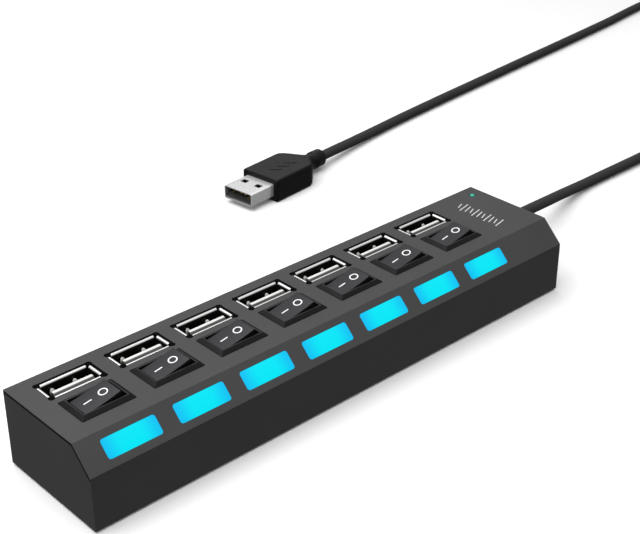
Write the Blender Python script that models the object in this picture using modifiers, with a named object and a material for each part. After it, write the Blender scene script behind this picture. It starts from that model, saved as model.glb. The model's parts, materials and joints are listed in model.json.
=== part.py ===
"""A USB hub with seven ports in a row, each with its own rocker switch and lit window.

Units are metres and +Z is up. The hub stands on z = 0 with its length along X. The lead
leaves at the +X end, the ports are towards +Y and the sloping face with the windows is at -Y.
"""

import math

import bmesh
import bpy
import numpy as np
from mathutils import Matrix, Vector

MM = 0.001
GAP = 0.3 * MM

# Body
LENGTH = 160.0 * MM
WIDTH = 34.4 * MM
BODY_HEIGHT = 20.5 * MM
FOOT_DROP = 0.6 * MM
SLOPE_RUN = 6.25 * MM
SLOPE_FALL = 6.1 * MM
WALL = 1.8 * MM
FLOOR = 2.0 * MM
RIM = 0.3 * MM
SHADOW_GAP = 0.45 * MM
COVER_THICKNESS = 1.6 * MM
COVER_INSET = 2.2 * MM
TOP = FOOT_DROP + BODY_HEIGHT
FRONT = -WIDTH / 2
SLOPE_TOP_Y = FRONT + SLOPE_RUN
SLOPE_RATE = SLOPE_FALL / SLOPE_RUN
SLOPE_STRETCH = math.hypot(1.0, SLOPE_RATE)
SLOPE_TILT = math.atan(SLOPE_RATE)

# Row of units, each a port, a switch, a window and a light
UNITS = 7
PITCH = 19.65 * MM
FIRST_UNIT_X = -66.6 * MM

# Circuit board
BOARD_SIZE = (155.0 * MM, 29.2 * MM, 1.6 * MM)
BOARD_BOTTOM = FOOT_DROP + 4.8 * MM
BOARD_TOP = BOARD_BOTTOM + BOARD_SIZE[2]
ON_BOARD = BOARD_TOP + GAP
CHIP_SIZE = (7.0 * MM, 7.0 * MM, 1.2 * MM)
CHIP_XY = (2.2 * MM, -1.0 * MM)

# Ports
PORT_Y = 9.85 * MM
PORT_OPENING = (15.2 * MM, 7.4 * MM)
SHELL_SIZE = (13.1 * MM, 5.7 * MM)
SHEET = 0.3 * MM
SHELL_TOP = TOP - 0.2 * MM
LONG_LIP = (12.1 * MM, 6.6 * MM)
SIDE_LIP = (14.6 * MM, 4.6 * MM)
TONGUE_SIZE = (11.1 * MM, 1.84 * MM)
TONGUE_Y = 8.6 * MM
TONGUE_TOP = TOP - 0.3 * MM
TONGUE_BASE_HEIGHT = 3.0 * MM

# Switches
SWITCH_Y = -1.05 * MM
BEZEL_BASE = (14.6 * MM, 10.1 * MM)
BEZEL_TOP = (12.9 * MM, 8.4 * MM)
BEZEL_BOTTOM = TOP + 0.2 * MM
BEZEL_HEIGHT = 0.6 * MM
SWITCH_BODY = (13.2 * MM, 8.8 * MM)
SWITCH_BODY_BOTTOM = TOP - 9.5 * MM
SWITCH_WELL = (11.4 * MM, 7.2 * MM)
SWITCH_WELL_BOTTOM = SWITCH_BODY_BOTTOM + 1.2 * MM
ROCKER_WIDTH = 6.6 * MM
ROCKER_HALF_LENGTH = 5.0 * MM
ROCKER_TOP = 2.05 * MM
ROCKER_HOLLOW = 0.2 * MM
ROCKER_SHOULDER = 0.6 * MM
ROCKER_KEEL = (3.0 * MM, 2.2 * MM)
ROCKER_TILT = math.radians(12.0)
PIVOT_Z = TOP - 0.9 * MM
PIN_RADIUS = 0.6 * MM
PIN_REACH = 4.05 * MM

# Windows in the sloping face
WINDOW_SIZE = (14.4 * MM, 4.6 * MM)
WINDOW_CORNER = 0.8 * MM
WINDOW_CLEARANCE = 0.2 * MM
WINDOW_FLANGE = (15.2 * MM, 5.6 * MM)
WINDOW_SET_BACK = 0.1 * MM
FLANGE_THICKNESS = 0.8 * MM

# Lights
LED_Y = -12.0 * MM
LED_RADIUS = 1.5 * MM
LED_HEIGHT = 7.8 * MM
POWER_LED_XY = (75.9 * MM, 13.0 * MM)
POWER_LED_RADIUS = 0.75 * MM
POWER_LED_FOOT = (1.05 * MM, 1.5 * MM)

# Screws, their posts and the feet
POST_X = (FIRST_UNIT_X + PITCH / 2, 66.0 * MM)
POST_Y = (-8.4 * MM, 10.0 * MM)
POST_RADIUS = 2.1 * MM
STANDOFF_RADIUS = 2.9 * MM
SCREW_HOLE_RADIUS = 1.4 * MM
SCREW_RADIUS = 1.1 * MM
SCREW_HEAD_RADIUS = 2.2 * MM
SCREW_HEAD_HEIGHT = 1.1 * MM
SCREW_HEAD_HOLE = (2.6 * MM, 1.6 * MM)
SCREW_TIP = 15.2 * MM
FOOT_XY = (73.0 * MM, 12.0 * MM)
FOOT_RADIUS = 4.0 * MM
FOOT_THICKNESS = 1.1 * MM

# Lead: gland, cable and plug
LEAD_Y = 8.0 * MM
LEAD_Z = 11.0 * MM
GLAND_FLANGE_RADIUS = 3.4 * MM
GLAND_NECK_RADIUS = 2.2 * MM
GLAND_ROOT_RADIUS = 2.9 * MM
GLAND_TIP_RADIUS = 2.1 * MM
GLAND_TIP_X = LENGTH / 2 + 9.4 * MM
CABLE_RADIUS = 1.7 * MM
CABLE_POINTS = 76
PLUG_TIP = Vector((46.9 * MM, 87.3 * MM, 4.0 * MM))
PLUG_YAW = math.radians(7.0)
PLUG_SHELL = (12.0 * MM, 4.5 * MM)
PLUG_SHELL_LENGTH = 13.7 * MM
PLUG_HOLE = (2.4 * MM, 2.2 * MM)
PLUG_HOLE_AT = (6.6 * MM, 3.0 * MM)
PLUG_INSULATOR = (11.0 * MM, 1.6 * MM)
GRIP_START = 10.7 * MM
GRIP_SHOULDER = 30.0 * MM
GRIP_NECK = 36.5 * MM
GRIP_END = 41.5 * MM
GRIP_HALF_WIDTH = 7.75 * MM
GRIP_HALF_THICKNESS = 4.0 * MM
NECK_RADIUS = 2.9 * MM
NECK_TIP_RADIUS = 2.5 * MM
GRIP_POCKET_DEPTH = 3.3 * MM

# The cable's route, from the gland to the plug.
CABLE_ROUTE = (
    (89.7, 8.0, 11.0),
    (97.0, 8.65, 10.55),
    (105.0, 10.3, 9.25),
    (113.0, 12.55, 7.45),
    (121.0, 15.05, 5.5),
    (130.0, 17.5, 3.5),
    (140.0, 19.1, 2.15),
    (150.0, 19.5, 1.9),
    (172.0, 19.6, 1.9),
    (206.0, 20.2, 1.9),
    (246.0, 23.0, 1.9),
    (290.0, 31.0, 1.9),
    (329.6, 47.5, 1.9),
    (355.6, 70.5, 1.9),
    (364.2, 97.0, 1.9),
    (351.7, 116.5, 1.9),
    (326.7, 122.3, 1.9),
    (284.0, 117.3, 1.9),
    (246.5, 113.2, 1.9),
    (217.1, 110.2, 1.9),
    (188.8, 107.2, 1.9),
    (162.3, 104.4, 1.9),
    (138.2, 101.6, 1.9),
    (120.5, 99.0, 2.1),
    (106.0, 96.3, 2.7),
    (97.0, 94.15, 3.5),
    (88.4, 92.4, 4.0),
)

ALONG_X = Matrix(((0, 0, 1, 0), (1, 0, 0, 0), (0, 1, 0, 0), (0, 0, 0, 1)))
ALONG_Y = Matrix(((1, 0, 0, 0), (0, 0, -1, 0), (0, 1, 0, 0), (0, 0, 0, 1)))


def unit_x(index):
    """X of the middle of a unit, counted from 0 at the -X end."""
    return FIRST_UNIT_X + PITCH * index


def new_collection(name):
    collection = bpy.data.collections.new(name)
    bpy.context.scene.collection.children.link(collection)
    return collection


def new_material(name, colour, roughness, metallic=0.0, glow=0.0):
    """Principled material; a glow above 0 makes it give off light of its own colour."""
    material = bpy.data.materials.new(name)
    material.use_nodes = True
    surface = material.node_tree.nodes["Principled BSDF"]
    surface.inputs["Base Color"].default_value = (*colour, 1.0)
    surface.inputs["Roughness"].default_value = roughness
    surface.inputs["Metallic"].default_value = metallic
    surface.inputs["Emission Color"].default_value = (*colour, 1.0)
    surface.inputs["Emission Strength"].default_value = glow
    material.diffuse_color = (*colour, 1.0)
    return material


def baked(guide):
    """Plain welded mesh of an object as its modifiers leave it; the object is removed."""
    bpy.context.scene.collection.objects.link(guide)
    bpy.context.view_layer.update()
    graph = bpy.context.evaluated_depsgraph_get()
    mesh = bpy.data.meshes.new_from_object(guide.evaluated_get(graph))
    bpy.data.objects.remove(guide)
    shape = bmesh.new()
    shape.from_mesh(mesh)
    bmesh.ops.remove_doubles(shape, verts=shape.verts, dist=0.001 * MM)
    bmesh.ops.recalc_face_normals(shape, faces=shape.faces)
    shape.to_mesh(mesh)
    shape.free()
    return mesh


def as_mesh(shape, name):
    """Mesh of a bmesh shape, which is freed."""
    mesh = bpy.data.meshes.new(name)
    shape.to_mesh(mesh)
    shape.free()
    return mesh


def add_box(shape, size, centre, turn=None):
    """Adds a box to a shape."""
    scale = Matrix.Diagonal((*size, 1.0))
    bmesh.ops.create_cube(shape, size=1.0, matrix=Matrix.Translation(centre) @ (turn or Matrix()) @ scale)


def add_rod(shape, radius, low, high, xy, sides=16):
    """Adds an upright cylinder between two heights to a shape."""
    centre = Matrix.Translation((*xy, (low + high) / 2))
    bmesh.ops.create_cone(
        shape, cap_ends=True, segments=sides, radius1=radius, radius2=radius, depth=high - low, matrix=centre
    )


def prism(outline, thickness, turn):
    """Mesh of a closed flat outline, extruded evenly to both sides of its plane."""
    curve = bpy.data.curves.new("outline", "CURVE")
    curve.dimensions = "2D"
    curve.fill_mode = "BOTH"
    curve.extrude = thickness / 2
    spline = curve.splines.new("POLY")
    spline.points.add(len(outline) - 1)
    for point, (across, up) in zip(spline.points, outline):
        point.co = (across, up, 0.0, 1.0)
    spline.use_cyclic_u = True
    mesh = baked(bpy.data.objects.new("outline", curve))
    mesh.transform(turn)
    return mesh


def turned(profile, steps, turn=None):
    """Mesh turned about Z from a profile of (radius, height), which runs from top to bottom."""
    mesh = bpy.data.meshes.new("profile")
    edges = [(i, i + 1) for i in range(len(profile) - 1)]
    mesh.from_pydata([(radius, 0.0, height) for radius, height in profile], edges, [])
    guide = bpy.data.objects.new("profile", mesh)
    screw = guide.modifiers.new("Screw", "SCREW")
    screw.steps = steps
    screw.render_steps = steps
    screw.use_merge_vertices = True
    screw.merge_threshold = 0.001 * MM
    mesh = baked(guide)
    mesh.transform(turn or Matrix())
    mesh.shade_smooth()
    mesh.set_sharp_from_angle(angle=math.radians(30))
    return mesh


def rounded_outline(size, corner, steps=4):
    """Rectangle about the origin with round corners."""
    points = []
    for quarter, (side, end) in enumerate(((1, 1), (-1, 1), (-1, -1), (1, -1))):
        for step in range(steps + 1):
            angle = math.pi / 2 * (quarter + step / steps)
            x = side * (size[0] / 2 - corner) + corner * math.cos(angle)
            y = end * (size[1] / 2 - corner) + corner * math.sin(angle)
            points.append((x, y))
    return points


def boolean(target, mesh, name, operation="DIFFERENCE"):
    """Cuts a mesh out of an object, or joins it on, with a live modifier."""
    tool = bpy.data.objects.new(name, mesh)
    CUTTERS.objects.link(tool)
    tool.hide_render = True
    tool.display_type = "WIRE"
    modifier = target.modifiers.new(name, "BOOLEAN")
    modifier.operation = operation
    modifier.solver = "EXACT"
    modifier.object = tool


def place(name, mesh, material, location=(0.0, 0.0, 0.0), rotation=(0.0, 0.0, 0.0)):
    """One named piece of the hub."""
    piece = bpy.data.objects.new(name, mesh)
    if not mesh.materials:
        mesh.materials.append(material)
    piece.location = location
    piece.rotation_euler = rotation
    PARTS.objects.link(piece)
    piece.parent = ROOT
    return piece


def flattened(piece):
    """Mesh of a piece with its modifiers worked in, so that its copies can share it."""
    bpy.context.view_layer.update()
    graph = bpy.context.evaluated_depsgraph_get()
    mesh = bpy.data.meshes.new_from_object(piece.evaluated_get(graph))
    piece.modifiers.clear()
    piece.data = mesh
    return mesh


def section_corners(depth, inset):
    """(y, z) of the back, the bend and the front of the body's section, set in by a depth."""
    back = (WIDTH / 2 - inset, TOP - depth)
    bend = (SLOPE_TOP_Y + depth * (SLOPE_STRETCH - 1) / SLOPE_RATE, TOP - depth)
    front_y = FRONT + inset
    front = (front_y, TOP + SLOPE_RATE * (front_y - SLOPE_TOP_Y) - depth * SLOPE_STRETCH)
    return [back, bend, front]


def cover_slab(outer_depth, inner_depth, inset):
    """Bent plate under the top and the slope, between two depths."""
    outline = section_corners(outer_depth, inset) + section_corners(inner_depth, inset)[::-1]
    return prism(outline[::-1], LENGTH - 2 * inset, ALONG_X)


def on_slope(x, depth):
    """Matrix of a place on the sloping face, whose Z leaves the face and whose X is the hub's X."""
    middle = Vector((x, FRONT + SLOPE_RUN / 2, TOP - SLOPE_FALL / 2))
    turn = Matrix.Rotation(SLOPE_TILT, 4, "X")
    return Matrix.Translation(middle) @ turn @ Matrix.Translation((0.0, 0.0, -depth))


def post_places():
    return [(x, y) for x in POST_X for y in POST_Y]


def make_top_cover():
    """Top and sloping face in one bent plate, with four screw posts beneath it."""
    cover = place("top_cover", cover_slab(0.0, RIM, 0.0), PLASTIC)
    boolean(cover, cover_slab(RIM / 2, COVER_THICKNESS, COVER_INSET), "cover_plate", "UNION")
    posts = bmesh.new()
    for xy in post_places():
        add_rod(posts, POST_RADIUS, ON_BOARD, TOP - COVER_THICKNESS / 2, xy)
    boolean(cover, as_mesh(posts, "cover_posts"), "cover_posts", "UNION")
    holes = bmesh.new()
    for xy in post_places():
        add_rod(holes, SCREW_HOLE_RADIUS, ON_BOARD - GAP, SCREW_TIP + GAP, xy)
    through = 4 * COVER_THICKNESS
    for index in range(UNITS):
        x = unit_x(index)
        add_box(holes, (*PORT_OPENING, through), (x, PORT_Y, TOP))
        body = [side + 2 * GAP for side in SWITCH_BODY]
        add_box(holes, (*body, through), (x, SWITCH_Y, TOP))
    add_rod(holes, POWER_LED_RADIUS + GAP, TOP - through, TOP + through, POWER_LED_XY)
    boolean(cover, as_mesh(holes, "cover_holes"), "cover_holes")
    size = [side + 2 * WINDOW_CLEARANCE for side in WINDOW_SIZE]
    outline = rounded_outline(size, WINDOW_CORNER)
    for index in range(UNITS):
        mesh = prism(outline, through, on_slope(unit_x(index), 0.0))
        boolean(cover, mesh, f"window_hole_{index + 1}")


def make_base_tray():
    """Floor and four walls, with standoffs for the board, screw holes, foot recesses and a lead hole."""
    rim = section_corners(RIM + SHADOW_GAP, 0.0)
    outline = [(WIDTH / 2, FOOT_DROP), *rim, (FRONT, FOOT_DROP)]
    tray = place("base_tray", prism(outline[::-1], LENGTH, ALONG_X), PLASTIC)
    hollow = bmesh.new()
    inner_floor = FOOT_DROP + FLOOR
    size = (LENGTH - 2 * WALL, WIDTH - 2 * WALL, 2 * BODY_HEIGHT)
    add_box(hollow, size, (0.0, 0.0, inner_floor + BODY_HEIGHT))
    boolean(tray, as_mesh(hollow, "tray_hollow"), "tray_hollow")
    standoffs = bmesh.new()
    for xy in post_places():
        add_rod(standoffs, STANDOFF_RADIUS, inner_floor - FLOOR / 4, BOARD_BOTTOM - GAP, xy)
    boolean(tray, as_mesh(standoffs, "tray_standoffs"), "tray_standoffs", "UNION")
    recesses = bmesh.new()
    head_radius, head_depth = SCREW_HEAD_HOLE
    for xy in post_places():
        add_rod(recesses, head_radius, 0.0, FOOT_DROP + head_depth, xy)
    for x in (-FOOT_XY[0], FOOT_XY[0]):
        for y in (-FOOT_XY[1], FOOT_XY[1]):
            add_rod(recesses, FOOT_RADIUS + GAP, 0.0, FOOT_THICKNESS + GAP, (x, y), 24)
    boolean(tray, as_mesh(recesses, "tray_recesses"), "tray_recesses")
    holes = bmesh.new()
    for xy in post_places():
        add_rod(holes, SCREW_HOLE_RADIUS, 0.0, BOARD_BOTTOM, xy)
    boolean(tray, as_mesh(holes, "tray_screw_holes"), "tray_screw_holes")
    lead = bmesh.new()
    add_rod(lead, GLAND_NECK_RADIUS + GAP, -2 * WALL, 2 * WALL, (0.0, 0.0))
    hole = as_mesh(lead, "tray_lead_hole")
    hole.transform(Matrix.Translation((LENGTH / 2, LEAD_Y, LEAD_Z)) @ Matrix.Rotation(math.pi / 2, 4, "Y"))
    boolean(tray, hole, "tray_lead_hole")


def make_board():
    """Circuit board on the tray's standoffs, and the hub's controller chip on it."""
    board = bmesh.new()
    add_box(board, BOARD_SIZE, (0.0, 0.0, (BOARD_BOTTOM + BOARD_TOP) / 2))
    piece = place("circuit_board", as_mesh(board, "circuit_board"), BOARD_GREEN)
    holes = bmesh.new()
    for xy in post_places():
        add_rod(holes, SCREW_HOLE_RADIUS, 0.0, TOP, xy)
    boolean(piece, as_mesh(holes, "board_holes"), "board_holes")
    chip = bmesh.new()
    add_box(chip, CHIP_SIZE, (*CHIP_XY, ON_BOARD + CHIP_SIZE[2] / 2))
    place("hub_controller", as_mesh(chip, "hub_controller"), CHIP_BLACK)


def make_port_shells():
    """Sheet-metal sleeves that stand on the board, with a lip along each side of the mouth."""
    tall = SHELL_TOP - ON_BOARD
    sleeve = bmesh.new()
    add_box(sleeve, (*SHELL_SIZE, tall), (0.0, 0.0, -tall / 2))
    first = place("port_shell_1", as_mesh(sleeve, "port_shell"), STEEL, (unit_x(0), PORT_Y, SHELL_TOP))
    for name, size in (("long_lips", LONG_LIP), ("side_lips", SIDE_LIP)):
        lips = bmesh.new()
        add_box(lips, (*size, SHEET), (0.0, 0.0, -SHEET / 2))
        mesh = as_mesh(lips, name)
        mesh.transform(Matrix.Translation(first.location))
        boolean(first, mesh, name, "UNION")
    bore = bmesh.new()
    inner = [side - 2 * SHEET for side in SHELL_SIZE]
    add_box(bore, (*inner, 3 * tall), first.location)
    boolean(first, as_mesh(bore, "port_bore"), "port_bore")
    mesh = flattened(first)
    for index in range(1, UNITS):
        place(f"port_shell_{index + 1}", mesh, STEEL, (unit_x(index), PORT_Y, SHELL_TOP))


def make_port_tongues():
    """Insulators, each a block in the foot of its sleeve with the contact tongue standing on it."""
    block_low = ON_BOARD
    block_high = ON_BOARD + TONGUE_BASE_HEIGHT
    block = bmesh.new()
    inner = [side - 2 * SHEET - 2 * GAP for side in SHELL_SIZE]
    add_box(block, (*inner, block_high - block_low), (0.0, PORT_Y - TONGUE_Y, (block_low + block_high) / 2))
    first = place("port_tongue_1", as_mesh(block, "port_tongue"), TONGUE_WHITE, (unit_x(0), TONGUE_Y, 0.0))
    blade = bmesh.new()
    blade_low = block_low + TONGUE_BASE_HEIGHT / 2
    middle = (unit_x(0), TONGUE_Y, (blade_low + TONGUE_TOP) / 2)
    add_box(blade, (*TONGUE_SIZE, TONGUE_TOP - blade_low), middle)
    boolean(first, as_mesh(blade, "tongue_blade"), "tongue_blade", "UNION")
    mesh = flattened(first)
    for index in range(1, UNITS):
        place(f"port_tongue_{index + 1}", mesh, TONGUE_WHITE, (unit_x(index), TONGUE_Y, 0.0))


def make_switch_frames():
    """Housings of the rockers: a sloping bezel on the cover and a well below it."""
    body = bmesh.new()
    bezel_middle = BEZEL_BOTTOM + BEZEL_HEIGHT / 2
    body_top = BEZEL_BOTTOM + BEZEL_HEIGHT / 2
    tall = body_top - SWITCH_BODY_BOTTOM
    add_box(body, (*SWITCH_BODY, tall), (0.0, 0.0, body_top - tall / 2))
    first = place("switch_frame_1", as_mesh(body, "switch_frame"), SWITCH_BLACK, (unit_x(0), SWITCH_Y, 0.0))
    bezel = bmesh.new()
    add_box(bezel, (*BEZEL_BASE, BEZEL_HEIGHT), (*first.location[:2], bezel_middle))
    for vertex in bezel.verts:
        if vertex.co.z > bezel_middle:
            vertex.co.x = first.location.x + (vertex.co.x - first.location.x) * BEZEL_TOP[0] / BEZEL_BASE[0]
            vertex.co.y = first.location.y + (vertex.co.y - first.location.y) * BEZEL_TOP[1] / BEZEL_BASE[1]
    boolean(first, as_mesh(bezel, "switch_bezel"), "switch_bezel", "UNION")
    well = bmesh.new()
    depth = 2 * (TOP - SWITCH_WELL_BOTTOM)
    add_box(well, (*SWITCH_WELL, depth), (*first.location[:2], SWITCH_WELL_BOTTOM + depth / 2))
    boolean(first, as_mesh(well, "switch_well"), "switch_well")
    bearing = bmesh.new()
    add_rod(bearing, PIN_RADIUS + GAP, -SWITCH_BODY[1], SWITCH_BODY[1], (0.0, 0.0))
    mesh = as_mesh(bearing, "switch_bearing")
    mesh.transform(Matrix.Translation((*first.location[:2], PIVOT_Z)) @ Matrix.Rotation(math.pi / 2, 4, "X"))
    boolean(first, mesh, "switch_bearing")
    mesh = flattened(first)
    for index in range(1, UNITS):
        place(f"switch_frame_{index + 1}", mesh, SWITCH_BLACK, (unit_x(index), SWITCH_Y, 0.0))


def rocker_outline(steps=8):
    """Side of a rocker about its pin: a shallow hollow along the top and a keel below."""
    keel_x, keel_drop = ROCKER_KEEL
    points = [(-keel_x, -keel_drop), (keel_x, -keel_drop), (ROCKER_HALF_LENGTH, -ROCKER_SHOULDER)]
    for step in range(steps + 1):
        share = 1 - 2 * step / steps
        points.append((ROCKER_HALF_LENGTH * share, ROCKER_TOP + ROCKER_HOLLOW * share**2))
    points.append((-ROCKER_HALF_LENGTH, -ROCKER_SHOULDER))
    return points


def make_switch_rockers():
    """Rockers on their pins, each with its -X end pressed in."""
    tilt = (0.0, -ROCKER_TILT, 0.0)
    mesh = prism(rocker_outline(), ROCKER_WIDTH, ALONG_Y)
    first = place("switch_rocker_1", mesh, SWITCH_BLACK, (unit_x(0), SWITCH_Y, PIVOT_Z), tilt)
    pin = bmesh.new()
    add_rod(pin, PIN_RADIUS, -PIN_REACH, PIN_REACH, (0.0, 0.0))
    mesh = as_mesh(pin, "rocker_pin")
    mesh.transform(Matrix.Translation(first.location) @ Matrix.Rotation(math.pi / 2, 4, "X"))
    boolean(first, mesh, "rocker_pin", "UNION")
    mesh = flattened(first)
    for index in range(1, UNITS):
        location = (unit_x(index), SWITCH_Y, PIVOT_Z)
        place(f"switch_rocker_{index + 1}", mesh, SWITCH_BLACK, location, tilt)


def make_light_windows():
    """Clear blue lenses that fill the holes in the slope, each with a flange behind the cover."""
    flange_depth = COVER_THICKNESS + GAP
    plug_thick = flange_depth + FLANGE_THICKNESS / 2 - WINDOW_SET_BACK
    raised = Matrix.Translation((0.0, 0.0, -WINDOW_SET_BACK - plug_thick / 2))
    plug = prism(rounded_outline(WINDOW_SIZE, WINDOW_CORNER), plug_thick, raised)
    first = place("light_window_1", plug, WINDOW_BLUE)
    first.matrix_world = on_slope(unit_x(0), 0.0)
    flange = bmesh.new()
    add_box(flange, (*WINDOW_FLANGE, FLANGE_THICKNESS), (0.0, 0.0, -flange_depth - FLANGE_THICKNESS / 2))
    mesh = as_mesh(flange, "window_flange")
    mesh.transform(on_slope(unit_x(0), 0.0))
    boolean(first, mesh, "window_flange", "UNION")
    mesh = flattened(first)
    for index in range(1, UNITS):
        lens = place(f"light_window_{index + 1}", mesh, WINDOW_BLUE)
        lens.matrix_world = on_slope(unit_x(index), 0.0)


def make_lights():
    """A domed light behind each window, and the power light's pipe up to the cover."""
    straight = LED_HEIGHT - LED_RADIUS
    dome = []
    for step in range(4):
        angle = math.pi / 2 * (1 - step / 3)
        dome.append((LED_RADIUS * math.cos(angle), straight + LED_RADIUS * math.sin(angle)))
    mesh = turned([*dome, (LED_RADIUS, 0.0), (0.0, 0.0)], 12)
    for index in range(UNITS):
        place(f"port_led_{index + 1}", mesh, WINDOW_BLUE, (unit_x(index), LED_Y, ON_BOARD))
    foot_radius, foot_height = POWER_LED_FOOT
    tall = TOP - ON_BOARD
    profile = [(0.0, tall), (POWER_LED_RADIUS, tall), (POWER_LED_RADIUS, foot_height)]
    profile += [(foot_radius, foot_height), (foot_radius, 0.0), (0.0, 0.0)]
    place("power_led", turned(profile, 16), POWER_GREEN, (*POWER_LED_XY, ON_BOARD))


def make_screws():
    """Pan-head screws, each up from beneath through the tray and the board into the cover."""
    head_low = FOOT_DROP + SCREW_HEAD_HOLE[1] - GAP - SCREW_HEAD_HEIGHT
    head_high = head_low + SCREW_HEAD_HEIGHT
    profile = [(0.0, SCREW_TIP), (SCREW_RADIUS, SCREW_TIP - SCREW_RADIUS), (SCREW_RADIUS, head_high)]
    profile += [(SCREW_HEAD_RADIUS, head_high), (SCREW_HEAD_RADIUS, head_low), (0.0, head_low)]
    mesh = turned(profile, 16)
    for number, xy in enumerate(post_places(), 1):
        place(f"screw_{number}", mesh, STEEL, (*xy, 0.0))


def make_feet():
    """Round rubber feet in the tray's recesses."""
    pad = bmesh.new()
    add_rod(pad, FOOT_RADIUS, 0.0, FOOT_THICKNESS, (0.0, 0.0), 24)
    mesh = as_mesh(pad, "foot")
    places = [(x, y) for x in (-FOOT_XY[0], FOOT_XY[0]) for y in (-FOOT_XY[1], FOOT_XY[1])]
    for number, xy in enumerate(places, 1):
        place(f"foot_{number}", mesh, RUBBER, (*xy, 0.0))


def make_strain_relief():
    """Moulded gland: a flange inside the wall, a neck in the hole and a tapered sleeve outside."""
    wall_in = LENGTH / 2 - WALL
    wall_out = LENGTH / 2
    flange_in = wall_in - 1.5 * MM
    profile = [(0.0, GLAND_TIP_X), (GLAND_TIP_RADIUS, GLAND_TIP_X), (GLAND_ROOT_RADIUS, wall_out + GAP)]
    profile += [(GLAND_NECK_RADIUS, wall_out + GAP), (GLAND_NECK_RADIUS, wall_in - GAP)]
    profile += [(GLAND_FLANGE_RADIUS, wall_in - GAP), (GLAND_FLANGE_RADIUS, flange_in), (0.0, flange_in)]
    turn = Matrix.Rotation(math.pi / 2, 4, "Y")
    place("strain_relief", turned(profile, 20, turn), RUBBER, (0.0, LEAD_Y, LEAD_Z))


def smooth_route(points, count):
    """Evenly spaced points on a Catmull-Rom curve through the route's own points."""
    ends = [2 * points[0] - points[1], *points, 2 * points[-1] - points[-2]]
    share = np.linspace(0.0, 1.0, 12, endpoint=False)[:, None]
    dense = []
    for a, b, c, d in zip(ends, ends[1:], ends[2:], ends[3:]):
        bent = 2 * a - 5 * b + 4 * c - d
        turned_over = 3 * b - a - 3 * c + d
        dense.append(b + 0.5 * ((c - a) * share + bent * share**2 + turned_over * share**3))
    dense = np.vstack([*dense, points[-1:]])
    reach = np.concatenate([[0.0], np.cumsum(np.linalg.norm(np.diff(dense, axis=0), axis=1))])
    even = np.linspace(0.0, reach[-1], count)
    return np.column_stack([np.interp(even, reach, axis) for axis in dense.T])


def make_cable():
    """The lead, a tube that runs from the gland down to the surface and round to the plug."""
    curve = bpy.data.curves.new("cable", "CURVE")
    curve.dimensions = "3D"
    curve.bevel_depth = CABLE_RADIUS
    curve.bevel_resolution = 2
    curve.use_fill_caps = True
    spline = curve.splines.new("POLY")
    spline.points.add(CABLE_POINTS - 1)
    route = smooth_route(np.array(CABLE_ROUTE) * MM, CABLE_POINTS)
    for point, position in zip(spline.points, route):
        point.co = (*position, 1.0)
    place("cable", curve, RUBBER)


def plug_turn():
    """Matrix of the plug, whose X runs from its tip to the cable."""
    return Matrix.Translation(PLUG_TIP) @ Matrix.Rotation(PLUG_YAW, 4, "Z")


def make_plug_shell():
    """Steel sleeve of the plug, with two square holes through each broad side."""
    sleeve = bmesh.new()
    add_box(sleeve, (PLUG_SHELL_LENGTH, *PLUG_SHELL), (PLUG_SHELL_LENGTH / 2, 0.0, 0.0))
    shell = place("plug_shell", as_mesh(sleeve, "plug_shell"), STEEL)
    shell.matrix_world = plug_turn()
    bore = bmesh.new()
    add_box(bore, (3 * PLUG_SHELL_LENGTH, PLUG_SHELL[0] - 2 * SHEET, PLUG_SHELL[1] - 2 * SHEET), (0.0, 0.0, 0.0))
    holes = bmesh.new()
    for side in (-1, 1):
        add_box(holes, (*PLUG_HOLE, 2 * PLUG_SHELL[1]), (PLUG_HOLE_AT[0], side * PLUG_HOLE_AT[1], 0.0))
    for name, shape in (("plug_bore", bore), ("plug_holes", holes)):
        mesh = as_mesh(shape, name)
        mesh.transform(plug_turn())
        boolean(shell, mesh, name)


def make_plug_insulator():
    """Contact carrier in the lower half of the sleeve."""
    start = 2 * GAP
    length = PLUG_SHELL_LENGTH - start
    width, thick = PLUG_INSULATOR
    low = -PLUG_SHELL[1] / 2 + SHEET + 0.2 * MM
    block = bmesh.new()
    add_box(block, (length, width, thick), (start + length / 2, 0.0, low + thick / 2))
    carrier = place("plug_insulator", as_mesh(block, "plug_insulator"), TONGUE_WHITE)
    carrier.matrix_world = plug_turn()


def grip_size(x):
    """Half width and half thickness of the plug's grip at a distance from the tip."""
    if x >= GRIP_NECK:
        share = (x - GRIP_NECK) / (GRIP_END - GRIP_NECK)
        radius = NECK_RADIUS + (NECK_TIP_RADIUS - NECK_RADIUS) * share
        return radius, radius
    share = max(0.0, (x - GRIP_SHOULDER) / (GRIP_NECK - GRIP_SHOULDER))
    ease = share * share * (3 - 2 * share)
    half_width = GRIP_HALF_WIDTH + (NECK_RADIUS - GRIP_HALF_WIDTH) * ease
    half_thickness = GRIP_HALF_THICKNESS + (NECK_RADIUS - GRIP_HALF_THICKNESS) * ease
    return half_width, half_thickness


def grip_ring(shape, x, sides=24):
    """One section of the grip: a rounded box that becomes round at the neck."""
    half_width, half_thickness = grip_size(x)
    corner = min(1.2 * MM, half_thickness) if x < GRIP_SHOULDER else None
    share = 0.0 if corner else min(1.0, (x - GRIP_SHOULDER) / (GRIP_NECK - GRIP_SHOULDER))
    power = 8.0 - 6.0 * share
    ring = []
    for step in range(sides):
        angle = 2 * math.pi * (step + 0.5) / sides
        across, up = math.cos(angle), math.sin(angle)
        reach = (abs(across) ** power + abs(up) ** power) ** (-1 / power)
        ring.append(shape.verts.new((x, half_width * across * reach, half_thickness * up * reach)))
    return ring


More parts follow.
